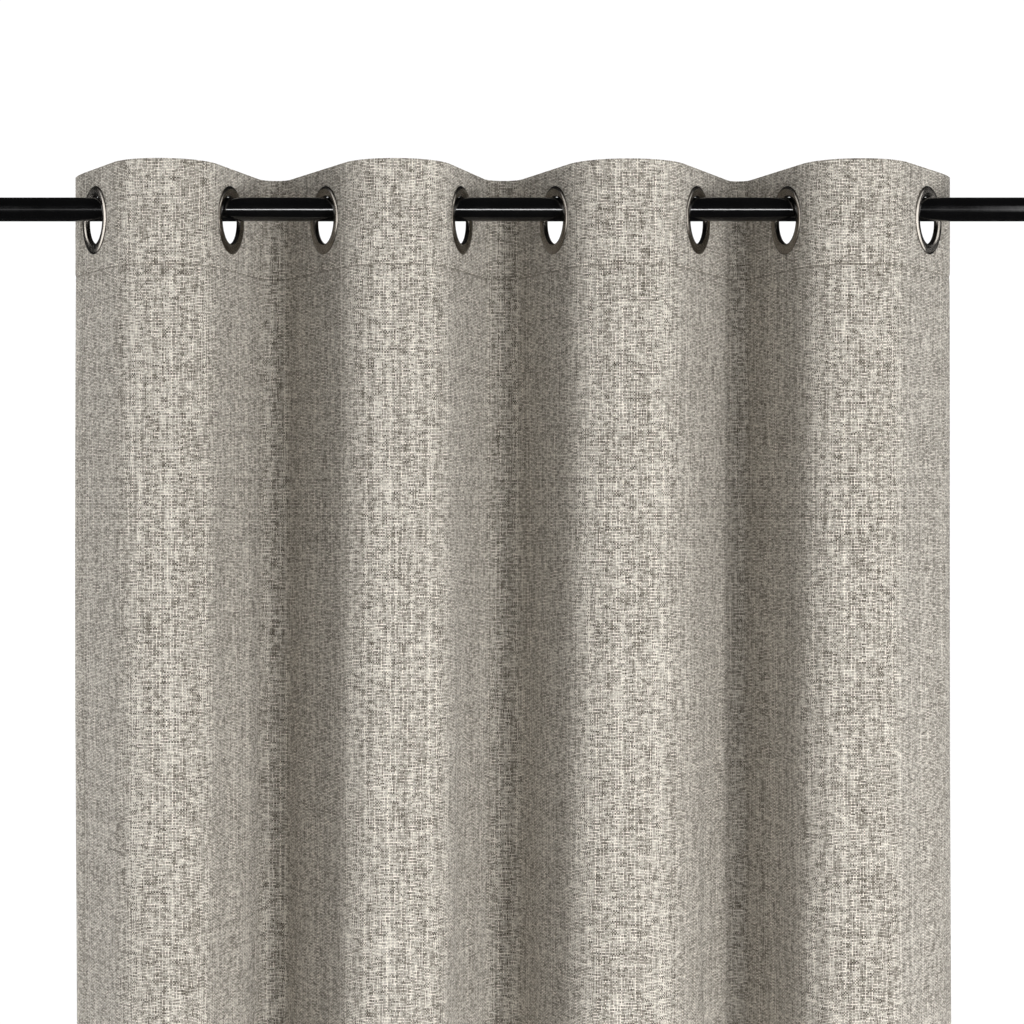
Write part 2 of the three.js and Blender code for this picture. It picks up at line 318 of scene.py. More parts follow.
def new_group(
    name: str, inputs: dict[str, float], outputs: Sequence[str]
) -> tuple[NodeSketch, dict[str, bpy.types.NodeSocket], bpy.types.Node]:
    """Starts a shader node group with an input called Vector.

    Args:
        name: The group's name.
        inputs: Its other inputs' names, each with its starting value.
        outputs: The names of its outputs, which are numbers.

    Returns:
        The sketch to build it with, its input sockets by name, and its output node.
    """
    tree = bpy.data.node_groups.new(name, "ShaderNodeTree")
    tree.interface.new_socket("Vector", in_out="INPUT", socket_type="NodeSocketVector")
    for label, start in inputs.items():
        socket = tree.interface.new_socket(label, in_out="INPUT", socket_type="NodeSocketFloat")
        socket.default_value = start
    for label in outputs:
        tree.interface.new_socket(label, in_out="OUTPUT", socket_type="NodeSocketFloat")
    sketch = NodeSketch(tree)
    source = sketch.add("NodeGroupInput")
    given = {label: source.outputs[label] for label in ("Vector", *inputs)}
    return sketch, given, sketch.add("NodeGroupOutput")


def weave_group() -> bpy.types.NodeTree:
    """Plain weave of uneven linen yarns, on flat cloth coordinates in metres.

    Returns:
        A group with the outputs Tone, 0 for the darkest yarn and 1 for the palest, with painted shade in the
        gaps between yarns and painted highlight on their tops, and Height.
    """
    sketch, given, out = new_group(
        "linen_weave",
        {
            "Warp Pitch": 1.05 * MM,
            "Weft Pitch": 1.2 * MM,
            "Wander": 0.9 * MM,
            "Yarn Spread": 0.5,
            "Top Yarn Share": 0.92,
            "Gap Depth": 1.05,
            "Slub Lift": 0.24,
        },
        ("Tone", "Height"),
    )
    along, down, _ = sketch.split(given["Vector"])

    def wander(coordinate: object, offset: float) -> object:
        """Lets the yarns stray a little from straight."""
        drift = sketch.math("SUBTRACT", sketch.noise(sketch.vector(along, down, offset), 40.0, 1.0), 0.5)
        return sketch.math("MULTIPLY_ADD", drift, given["Wander"], coordinate)

    warp_place = sketch.math("DIVIDE", wander(along, 0.0), given["Warp Pitch"])
    weft_place = sketch.math("DIVIDE", wander(down, 4.0), given["Weft Pitch"])
    warp_number = sketch.math("FLOOR", warp_place)
    weft_number = sketch.math("FLOOR", weft_place)

    def from_middle(place: object, number: object) -> object:
        """How far across its yarn a place is, from -0.5 to 0.5."""
        return sketch.math("SUBTRACT", sketch.math("SUBTRACT", place, number), 0.5)

    across_warp = from_middle(warp_place, warp_number)
    across_weft = from_middle(weft_place, weft_number)

    def yarn_tone(
        number: object, coordinate: object, slubs_per_metre: float, seed: float, share: float, slubs: float
    ) -> tuple[object, object]:
        """A tone for each yarn, which drifts along the yarn as its slubs come and go.

        Args:
            number: The yarn's number.
            coordinate: The distance along the yarn.
            slubs_per_metre: How often its slubs come.
            seed: Sets this set of yarns apart from the other.
            share: How much of the yarn spread it takes.
            slubs: How much of the tone comes from the slubs and not from the yarn's own dye.

        Returns:
            The tone, and the yarn's own dye, both from 0 to 1.
        """
        dye = sketch.add("ShaderNodeTexWhiteNoise", noise_dimensions="1D")
        sketch.feed(dye.inputs["W"], sketch.math("ADD", number, seed))
        lengthwise = sketch.math("MULTIPLY", coordinate, slubs_per_metre)
        slub_place = sketch.vector(sketch.math("MULTIPLY", number, 2.37), lengthwise, seed)
        slub = sketch.stretched(sketch.noise(slub_place, 1.0, 2.0, 0.6))
        centred = sketch.math("SUBTRACT", sketch.mix(slubs, dye.outputs[0], slub), 0.5)
        scale = sketch.math("MULTIPLY", given["Yarn Spread"], share)
        return sketch.math("MULTIPLY_ADD", centred, scale, 0.5), dye.outputs[0]

    warp_slubs, warp_seed = 70.0, 11.3
    weft_tone, _ = yarn_tone(weft_number, along, 150.0, 47.9, 1.4, 0.85)
    warp_plain, warp_dye = yarn_tone(warp_number, down, warp_slubs, warp_seed, 0.8, 0.72)
    thick = sketch.spread(warp_dye, 0.86, 0.9, 0.0, 1.0)
    run_length = sketch.math("MULTIPLY", down, 0.3 * warp_slubs)
    run_place = sketch.vector(sketch.math("MULTIPLY", warp_number, 3.71), run_length, warp_seed)
    run = sketch.spread(sketch.noise(run_place, 1.0, 0.0), 0.46, 0.54, 0.0, 1.0)
    lift = sketch.math("MULTIPLY", sketch.math("MULTIPLY", thick, run), given["Slub Lift"])
    warp_tone = sketch.math("ADD", warp_plain, lift)
    half_sum = sketch.math("MULTIPLY", sketch.math("ADD", warp_number, weft_number), 0.5)
    warp_on_top = sketch.math("MULTIPLY", sketch.math("FRACT", half_sum), 2.0)
    under_share = sketch.math("SUBTRACT", 1.0, given["Top Yarn Share"])
    share = sketch.mix(warp_on_top, under_share, given["Top Yarn Share"])
    tone = sketch.mix(share, weft_tone, warp_tone)

    def roundness(across: object) -> object:
        """A yarn's round back: 1 along its middle, 0 at its sides."""
        return sketch.math("COSINE", sketch.math("MULTIPLY", across, math.pi))

    warp_round, weft_round = roundness(across_warp), roundness(across_weft)
    sign = sketch.math("MULTIPLY_ADD", warp_on_top, 2.0, -1.0)

    def yarn_height(own_round: object, other_round: object, direction: object) -> object:
        """A yarn's height, as it arches over one neighbour and dips under the next.

        Args:
            own_round: The yarn's own round back.
            other_round: The crossing yarn's.
            direction: 1 where it lies on top, -1 where it lies below.

        Returns:
            The height, up to 1.
        """
        arch = sketch.math("MULTIPLY", sketch.math("MULTIPLY", direction, other_round), 0.45)
        return sketch.math("MULTIPLY", own_round, sketch.math("ADD", arch, 0.55))

    warp_height = yarn_height(warp_round, weft_round, sign)
    weft_height = yarn_height(weft_round, warp_round, sketch.math("MULTIPLY", sign, -1.0))
    height = sketch.math("MAXIMUM", warp_height, weft_height)
    # Painted shade and highlight: the tone is darkened in the low gaps between yarns and lifted on the yarn
    # tops.
    painted_shade_and_highlight = sketch.spread(height, 0.1, 0.75, -0.78, 0.25)
    sketch.feed(out.inputs["Tone"], sketch.math("MULTIPLY_ADD", painted_shade_and_highlight, given["Gap Depth"], tone))
    sketch.feed(out.inputs["Height"], height)
    return sketch.tree


def grain_group() -> bpy.types.NodeTree:
    """Fine surface grain for hard finishes, on object coordinates in metres.

    Returns:
        A group with the outputs Grain, about 0 to 1, Patches, slower and also about 0 to 1, and
        Dust, which gathers on faces that look up.
    """
    sketch, given, out = new_group(
        "hard_grain",
        {
            "Grain Scale": 900.0,
            "Patch Scale": 60.0,
            "Dust Amount": 0.3,
        },
        ("Grain", "Patches", "Dust"),
    )
    fine = sketch.stretched(sketch.noise(given["Vector"], given["Grain Scale"], 3.0, 0.6))
    slow = sketch.stretched(sketch.noise(given["Vector"], given["Patch Scale"], 2.0))
    _, _, facing_up = sketch.split(sketch.add("ShaderNodeNewGeometry").outputs["Normal"])
    upward = sketch.spread(facing_up, 0.2, 1.0, 0.0, 1.0)
    dust = sketch.math("MULTIPLY", sketch.math("MULTIPLY", upward, slow), given["Dust Amount"])
    sketch.feed(out.inputs["Grain"], fine)
    sketch.feed(out.inputs["Patches"], slow)
    sketch.feed(out.inputs["Dust"], dust)
    return sketch.tree


def new_material(name: str) -> tuple[bpy.types.Material, NodeSketch, bpy.types.Node]:
    """Starts a material.

    Args:
        name: The material's name.

    Returns:
        The material, a sketch on its tree, and its Principled BSDF.
    """
    material = bpy.data.materials.new(name)
    material.use_nodes = True
    sketch = NodeSketch(material.node_tree)
    return material, sketch, material.node_tree.nodes["Principled BSDF"]


def place_group(sketch: NodeSketch, tree: bpy.types.NodeTree, **values: object) -> bpy.types.Node:
    """Places a shader group in a material.

    Args:
        sketch: The material's sketch.
        tree: The group.
        values: Its inputs by name, with underscores for spaces.

    Returns:
        The group's node.
    """
    node = sketch.add("ShaderNodeGroup", node_tree=tree)
    for label, value in values.items():
        sketch.feed(node.inputs[label.replace("_", " ")], value)
    return node


# ---- Finishes ----------------------------------------------------------------------------------


@dataclass(frozen=True)
class LinenFinish:
    """Woven linen-look cloth, from its darkest to its palest yarns."""

    name: str
    dark: Colour = (0.070, 0.058, 0.043)
    middle: Colour = (0.405, 0.370, 0.318)
    pale: Colour = (0.95, 0.90, 0.81)
    spread: float = 1.2
    relief: float = 0.4 * MM
    needle_lines: tuple[float, ...] = (82 * MM, 2034 * MM)
    needle_shade: float = 0.13

    def build(self, weave: bpy.types.NodeTree) -> bpy.types.Material:
        """Makes the material.

        Args:
            weave: The weave group.

        Returns:
            The material, which reads the cloth's own flat coordinates.
        """
        material, sketch, shader = new_material(self.name)
        flat = sketch.add("ShaderNodeUVMap", uv_map=FLAT_CLOTH).outputs[0]
        yarns = place_group(sketch, weave, Vector=flat, Yarn_Spread=self.spread)
        lots = sketch.spread(sketch.noise(flat, 24.0, 2.0), 0.3, 0.7, -0.012, 0.012)
        tone = sketch.math("ADD", yarns.outputs["Tone"], lots)
        _, down, _ = sketch.split(flat)
        # Painted shade: the tone is darkened along each seam line, standing in for the shade in its stitched
        # groove.
        for line in self.needle_lines:
            distance = sketch.math("ABSOLUTE", sketch.math("SUBTRACT", down, line))
            painted_seam_darkening = sketch.spread(distance, 0.4 * MM, 1.3 * MM, self.needle_shade, 0.0)
            tone = sketch.math("SUBTRACT", tone, painted_seam_darkening)
        stops = ((0.12, self.dark), (0.50, self.middle), (0.92, self.pale))
        height = yarns.outputs["Height"]
        sketch.feed(shader.inputs["Base Color"], sketch.ramp(tone, stops))
        sketch.feed(shader.inputs["Roughness"], sketch.spread(height, 0.0, 1.0, 0.95, 0.8))
        sketch.feed(shader.inputs["Normal"], sketch.bump(height, 0.5, self.relief))
        shader.inputs["Specular IOR Level"].default_value = 0.2
        shader.inputs["Sheen Weight"].default_value = 0.12
        shader.inputs["Sheen Roughness"].default_value = 0.5
        return material


@dataclass(frozen=True)
class ThreadFinish:
    """Spun sewing thread."""

    name: str
    colour: Colour = (0.36, 0.33, 0.28)

    def build(self) -> bpy.types.Material:
        """Makes the material.

        Returns:
            The material.
        """
        material, sketch, shader = new_material(self.name)
        place = sketch.add("ShaderNodeTexCoord").outputs["Object"]
        fibre = sketch.noise(place, 2500.0, 2.0)
        dark = tuple(0.7 * c for c in self.colour)
        sketch.feed(shader.inputs["Base Color"], sketch.ramp(fibre, ((0.35, dark), (0.65, self.colour))))
        sketch.feed(shader.inputs["Normal"], sketch.bump(fibre, 0.4, 0.1 * MM))
        shader.inputs["Roughness"].default_value = 0.75
        return material


@dataclass(frozen=True)
class HardFinish:
    """A paint, plastic or metal with fine grain, slow patches and a little dust."""

    name: str
    colour: Colour
    patch_colour: Colour
    dust_colour: Colour
    metallic: float
    roughness: tuple[float, float]
    grain_scale: float
    patch_scale: float
    relief: float
    dust: float = 0.1
    coat: float = 0.0

    def build(self, grain: bpy.types.NodeTree) -> bpy.types.Material:
        """Makes the material.

        Args:
            grain: The grain group.

        Returns:
            The material.
        """
        material, sketch, shader = new_material(self.name)
        place = sketch.add("ShaderNodeTexCoord").outputs["Object"]
        surface = place_group(
            sketch,
            grain,
            Vector=place,
            Grain_Scale=self.grain_scale,
            Patch_Scale=self.patch_scale,
            Dust_Amount=self.dust,
        )
        patches, dust = surface.outputs["Patches"], surface.outputs["Dust"]
        patched = sketch.blend_colour(patches, (*self.colour, 1.0), (*self.patch_colour, 1.0))
        dusted = sketch.blend_colour(dust, patched, (*self.dust_colour, 1.0))
        sketch.feed(shader.inputs["Base Color"], dusted)
        gloss = sketch.mix(patches, *self.roughness)
        dull = sketch.math("MULTIPLY", dust, 0.3)
        sketch.feed(shader.inputs["Roughness"], sketch.math("ADD", gloss, dull))
        sketch.feed(shader.inputs["Normal"], sketch.bump(surface.outputs["Grain"], 0.35, self.relief))
        shader.inputs["Metallic"].default_value = self.metallic
        shader.inputs["Coat Weight"].default_value = self.coat
        shader.inputs["Coat Roughness"].default_value = 0.05
        return material


class Finishes:
    """Every material of the curtain, each built once."""

    def __init__(self) -> None:
        """Builds the shared groups and the materials."""
        weave, grain = weave_group(), grain_group()
        self.linen = LinenFinish("linen_room_side").build(weave)
        self.lining = LinenFinish(
            "linen_wall_side",
            dark=(0.16, 0.14, 0.11),
            middle=(0.42, 0.39, 0.34),
            pale=(0.72, 0.68, 0.61),
            spread=0.6,
        ).build(weave)
        self.thread = ThreadFinish("linen_thread").build()
        self.enamel = HardFinish(
            "black_gloss_enamel",
            colour=(0.0018, 0.0018, 0.0020),
            patch_colour=(0.0026, 0.0026, 0.0028),
            dust_colour=(0.05, 0.048, 0.045),
            metallic=0.0,
            roughness=(0.10, 0.16),
            grain_scale=260.0,
            patch_scale=45.0,
            relief=0.05 * MM,
            dust=0.02,
            coat=0.2,
        ).build(grain)
        self.plastic = HardFinish(
            "black_moulded_plastic",
            colour=(0.010, 0.010, 0.010),
            patch_colour=(0.014, 0.014, 0.014),
            dust_colour=(0.08, 0.075, 0.07),
            metallic=0.0,
            roughness=(0.42, 0.55),
            grain_scale=1500.0,
            patch_scale=80.0,
            relief=0.06 * MM,
        ).build(grain)
        self.gunmetal = HardFinish(
            "gunmetal_plate",
            colour=(0.19, 0.172, 0.15),
            patch_colour=(0.26, 0.24, 0.215),
            dust_colour=(0.2, 0.19, 0.17),
            metallic=1.0,
            roughness=(0.16, 0.26),
            grain_scale=1400.0,
            patch_scale=140.0,
            relief=0.03 * MM,
            dust=0.04,
        ).build(grain)
        self.zinc = HardFinish(
            "zinc_plate",
            colour=(0.42, 0.42, 0.40),
            patch_colour=(0.52, 0.51, 0.48),
            dust_colour=(0.3, 0.29, 0.27),
            metallic=1.0,
            roughness=(0.28, 0.42),
            grain_scale=1800.0,
            patch_scale=300.0,
            relief=0.03 * MM,
        ).build(grain)


# ---- Mesh helpers ------------------------------------------------------------------------------


def new_piece(name: str, mesh: bpy.types.Mesh, *materials: bpy.types.Material) -> bpy.types.Object:
    """Puts a mesh in the scene.

    Args:
        name: The piece's name.
        mesh: Its mesh, in the row frame.
        materials: Its materials, in the order of their slots.

    Returns:
        The new object, at the origin.
    """
    mesh.name = name
    mesh.materials.clear()
    for material in materials:
        mesh.materials.append(material)
    piece = bpy.data.objects.new(name, mesh)
    bpy.context.scene.collection.objects.link(piece)
    return piece


def smooth_shaded(mesh: bpy.types.Mesh, sharp_above: float = 40.0) -> bpy.types.Mesh:
    """Shades a mesh smooth, apart from its sharp edges.

    Args:
        mesh: The mesh.
        sharp_above: The angle in degrees above which an edge stays sharp.

    Returns:
        The same mesh.
    """
    mesh.shade_smooth()
    mesh.set_sharp_from_angle(angle=math.radians(sharp_above))
    return mesh


def closed_mesh(work: bmesh.types.BMesh, merge: float = 1e-6, sharp_above: float = 40.0) -> bpy.types.Mesh:
    """Turns a closed working mesh into a finished one whose faces point outwards.

    Args:
        work: The working mesh, which is freed.
        merge: The distance below which its vertices are joined.
        sharp_above: The angle in degrees above which an edge stays sharp.

    Returns:
        The finished mesh.
    """
    bmesh.ops.remove_doubles(work, verts=work.verts, dist=merge)
    bmesh.ops.recalc_face_normals(work, faces=work.faces)
    mesh = bpy.data.meshes.new("piece")
    work.to_mesh(mesh)
    work.free()
    return smooth_shaded(mesh, sharp_above)


def rounded(corners: Sequence[tuple[float, float, float]], closed: bool, steps: int = 5) -> Profile:
    """Rounds the corners of an outline.

    Args:
        corners: Each corner as two coordinates and its rounding, which its edges limit.
        closed: Whether the last corner joins the first.
        steps: Points along each rounding.

    Returns:
        The outline's points.
    """
    points: Profile = []
    count = len(corners)
    for i, (x, y, radius) in enumerate(corners):
        here = Vector((x, y))
        if radius <= 0 or (not closed and i in (0, count - 1)):
            points.append((x, y))
            continue
        before = Vector(corners[i - 1][:2]) - here
        after = Vector(corners[(i + 1) % count][:2]) - here
        reach = min(radius, 0.48 * before.length, 0.48 * after.length)
        start, end = here + reach * before.normalized(), here + reach * after.normalized()
        for k in range(steps + 1):
            t = k / steps
            point = (1 - t) ** 2 * start + 2 * t * (1 - t) * here + t**2 * end
            points.append((point.x, point.y))
    return points


def turned(profile: Profile, frame: Matrix, closed: bool, segments: int = 96) -> bpy.types.Mesh:
    """Turns an outline about an axis.

    Args:
        profile: Points of (radius, height). It closes on itself, or starts and ends on the axis.
        frame: Where the axis stands: its Z is the axis and its origin is height 0.
        closed: Whether the outline closes on itself.
        segments: Steps around.

    Returns:
        The turned mesh.
    """
    work = bmesh.new()
    rings = []
    for radius, height in profile:
        ring = []
        for k in range(segments):
            angle = math.tau * k / segments
            point = Vector((radius * math.cos(angle), radius * math.sin(angle), height))
            ring.append(work.verts.new(frame @ point))
        rings.append(ring)
    pairs = list(zip(rings, rings[1:])) + ([(rings[-1], rings[0])] if closed else [])
    for lower, upper in pairs:
        for k in range(segments):
            following = (k + 1) % segments
            work.faces.new((lower[k], lower[following], upper[following], upper[k]))
    bmesh.ops.remove_doubles(work, verts=work.verts, dist=1e-7)
    return closed_mesh(work)


def axis_frame(origin: Vector, axis: Vector) -> Matrix:
    """A frame at a point whose Z runs along an axis."""
    return Matrix.Translation(origin) @ axis.to_track_quat("Z", "Y").to_matrix().to_4x4()


def bevelled_copy(node: bpy.types.Object, width: float) -> bpy.types.Mesh:
    """Copies a plain solid and rounds its sharp edges.

    Args:
        node: The solid.
        width: The rounding's width.

    Returns:
        The rounded mesh.
    """
    work = bmesh.new()
    work.from_mesh(node.data)
    bmesh.ops.remove_doubles(work, verts=work.verts, dist=1e-6)
    bmesh.ops.dissolve_limit(work, angle_limit=math.radians(1), verts=work.verts, edges=work.edges)
    sharp = [e for e in work.edges if len(e.link_faces) == 2 and e.calc_face_angle() > math.radians(35)]
    bmesh.ops.bevel(
        work, geom=sharp, offset=width, segments=3, profile=0.5, affect="EDGES", clamp_overlap=True
    )
    return closed_mesh(work, sharp_above=50.0)


def joined(meshes: Iterable[bpy.types.Mesh]) -> bpy.types.Mesh:
    """Puts several meshes into one.

    Args:
        meshes: The meshes.

    Returns:
        The new mesh.
    """
    work = bmesh.new()
    for mesh in meshes:
        work.from_mesh(mesh)
    result = bpy.data.meshes.new("joined")
    work.to_mesh(result)
    work.free()
    return result


def centre_of(*nodes: str) -> Vector:
    """Finds the middle of the box around some CAD nodes.

    Args:
        nodes: The nodes' names.

    Returns:
        The middle.
    """
    boxes = [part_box(node) for node in nodes]
    low = Vector(min(box[0][k] for box in boxes) for k in range(3))
    high = Vector(max(box[1][k] for box in boxes) for k in range(3))
    return (low + high) / 2


def stand_in(piece: bpy.types.Object, node: str, body: str) -> None:
    """Lets a piece stand for a CAD node.

    Args:
        piece: The piece.
        node: The CAD node that it replaces.
        body: The body that it rides on.
    """
    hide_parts(node)
    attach(piece, body)
    log.info("%s rides on %s", piece.name, body)


# ---- Geometry node trees -----------------------------------------------------------------------


class RepeatTree:
    """A geometry node tree that sets one small shape along the lines of a mesh."""

    def __init__(self) -> None:
        """Builds the tree: ellipsoids of a length and radius, at a pitch, lying along the line."""
        tree = bpy.data.node_groups.new("shapes_along_line", "GeometryNodeTree")
        interface = tree.interface
        interface.new_socket("Geometry", in_out="INPUT", socket_type="NodeSocketGeometry")
        for label in ("Pitch", "Length", "Radius"):
            interface.new_socket(label, in_out="INPUT", socket_type="NodeSocketFloat")
        interface.new_socket("Finish", in_out="INPUT", socket_type="NodeSocketMaterial")
        interface.new_socket("Geometry", in_out="OUTPUT", socket_type="NodeSocketGeometry")
        nodes, link = tree.nodes, tree.links.new
        given, result = nodes.new("NodeGroupInput"), nodes.new("NodeGroupOutput")
        curve = nodes.new("GeometryNodeMeshToCurve")
        spaced = nodes.new("GeometryNodeResampleCurve")
        spaced.mode = "LENGTH"
        tangent = nodes.new("GeometryNodeInputTangent")
        aligned = nodes.new("FunctionNodeAlignRotationToVector")
        aligned.axis = "X"
        bead = nodes.new("GeometryNodeMeshUVSphere")
        bead.inputs["Segments"].default_value = 6
        bead.inputs["Rings"].default_value = 4
        bead.inputs["Radius"].default_value = 1.0
        half = nodes.new("ShaderNodeMath")
        half.operation = "MULTIPLY"
        half.inputs[1].default_value = 0.5
        size = nodes.new("ShaderNodeCombineXYZ")
        shaped = nodes.new("GeometryNodeTransform")
        placed = nodes.new("GeometryNodeInstanceOnPoints")
        real = nodes.new("GeometryNodeRealizeInstances")
        finish = nodes.new("GeometryNodeSetMaterial")
        link(given.outputs["Geometry"], curve.inputs[0])
        link(curve.outputs[0], spaced.inputs["Curve"])
        link(given.outputs["Pitch"], spaced.inputs["Length"])
        link(tangent.outputs[0], aligned.inputs["Vector"])
        link(given.outputs["Length"], half.inputs[0])
        link(half.outputs[0], size.inputs[0])
        link(given.outputs["Radius"], size.inputs[1])
        link(given.outputs["Radius"], size.inputs[2])
        link(bead.outputs["Mesh"], shaped.inputs["Geometry"])
        link(size.outputs[0], shaped.inputs["Scale"])
        link(spaced.outputs[0], placed.inputs["Points"])
        link(shaped.outputs[0], placed.inputs["Instance"])
        link(aligned.outputs[0], placed.inputs["Rotation"])
        link(placed.outputs[0], real.inputs[0])
        link(real.outputs[0], finish.inputs[0])
        link(given.outputs["Finish"], finish.inputs["Material"])
        link(finish.outputs[0], result.inputs[0])
        self.tree = tree

    def along(
        self,
        lines: Sequence[np.ndarray],
        pitch: float,
        length: float,
        radius: float,
        material: bpy.types.Material,
    ) -> bpy.types.Mesh:
        """Sets the shape along some lines.

        Args:
            lines: Each line's points.
            pitch: From one shape's middle to the next.
            length: The shape's length along the line.
            radius: Its radius across the line.
            material: Its finish.

        Returns:
            A plain mesh of all the shapes.
        """
        points, edges = [], []
        for line in lines:
            first = len(points)
            points += [tuple(p) for p in line]
            edges += [(first + k, first + k + 1) for k in range(len(line) - 1)]
        path = bpy.data.meshes.new("path")
        path.from_pydata(points, edges, [])
        carrier = bpy.data.objects.new("path", path)
        bpy.context.scene.collection.objects.link(carrier)
        modifier = carrier.modifiers.new("shapes", "NODES")
        modifier.node_group = self.tree
        values = {"Pitch": pitch, "Length": length, "Radius": radius, "Finish": material}
        for item in self.tree.interface.items_tree:
            if item.in_out == "INPUT" and item.name in values:
                modifier[item.identifier] = values[item.name]
        evaluated = carrier.evaluated_get(bpy.context.evaluated_depsgraph_get())
        mesh = bpy.data.meshes.new_from_object(evaluated)
        carrier.modifiers.clear()
        bpy.data.objects.remove(carrier)
        bpy.data.meshes.remove(path)
        mesh.shade_smooth()
        return mesh


# ---- Curtain panel -----------------------------------------------------------------------------


@dataclass(frozen=True)
class Pleats:
    """How the flat sheet hangs: the angle of the cloth at each grommet and the crests between."""

    pitch: float = 172.5 * MM
    side_margin: float = 56.75 * MM
    flat_length: float = 28.25 * MM
    flank_degrees: tuple[float, ...] = (61, 75, 62.5, 73.5, 67.5, 66, 71.5, 59)
    back_crest_radii: tuple[float, ...] = (14 * MM, 17 * MM, 10 * MM)
    edge_curl_degrees: float = 12.0

    @property
    def width(self) -> float:
        """The flat sheet's width."""
        return (len(self.flank_degrees) - 1) * self.pitch + 2 * self.side_margin

    def grommet(self, index: int) -> float:
        """How far along the flat sheet a grommet's centre lies."""
        return self.side_margin + index * self.pitch

    def crest(self, index: int) -> tuple[float, float, float]:
        """The crest between a grommet and the next.

        Args:
            index: The first grommet's number, from 0.

        Returns:
            Its radius, and the straight lengths of cloth before and after it.
        """
        before, after = (math.radians(a) for a in self.flank_degrees[index : index + 2])
        if index % 2:
            radius = self.back_crest_radii[index // 2]
        else:
            gentle, steep = sorted((before, after))
            flats = self.flat_length * (1 + math.sin(steep) / math.sin(gentle))
            shortfall = (math.cos(gentle) - math.cos(steep)) / math.sin(gentle)
            radius = (self.pitch - flats) / (gentle + steep + shortfall)

        def bulge(angle: float) -> float:
            """How much straight cloth the crest's rounding stands for on one side."""
            return radius * (1 - math.cos(angle)) / math.sin(angle)

        straights = self.pitch - radius * (before + after)
        depth = (straights + bulge(before) + bulge(after)) / (1 / math.sin(before) + 1 / math.sin(after))
        return radius, depth / math.sin(before) - bulge(before), depth / math.sin(after) - bulge(after)

    def headings(self) -> tuple[np.ndarray, np.ndarray]:
        """The cloth's direction in plan, as knots to interpolate between.

        Returns:
            Distances along the flat sheet, and the heading at each, in radians from +X.
        """
        angles = [math.radians(a) for a in self.flank_degrees]
        curl = math.radians(self.edge_curl_degrees)
        knots = [(0.0, -angles[0] - curl), (self.side_margin - self.flat_length, -angles[0])]
        for i, (before, after) in enumerate(zip(angles, angles[1:])):
            _, straight_before, straight_after = self.crest(i)
            sign = -1 if i % 2 == 0 else 1
            knots.append((self.grommet(i) + straight_before, sign * before))
            knots.append((self.grommet(i + 1) - straight_after, -sign * after))
        knots.append((self.width - self.side_margin + self.flat_length, angles[-1]))
        knots.append((self.width, angles[-1] + curl))
        return np.array([k[0] for k in knots]), np.array([k[1] for k in knots])


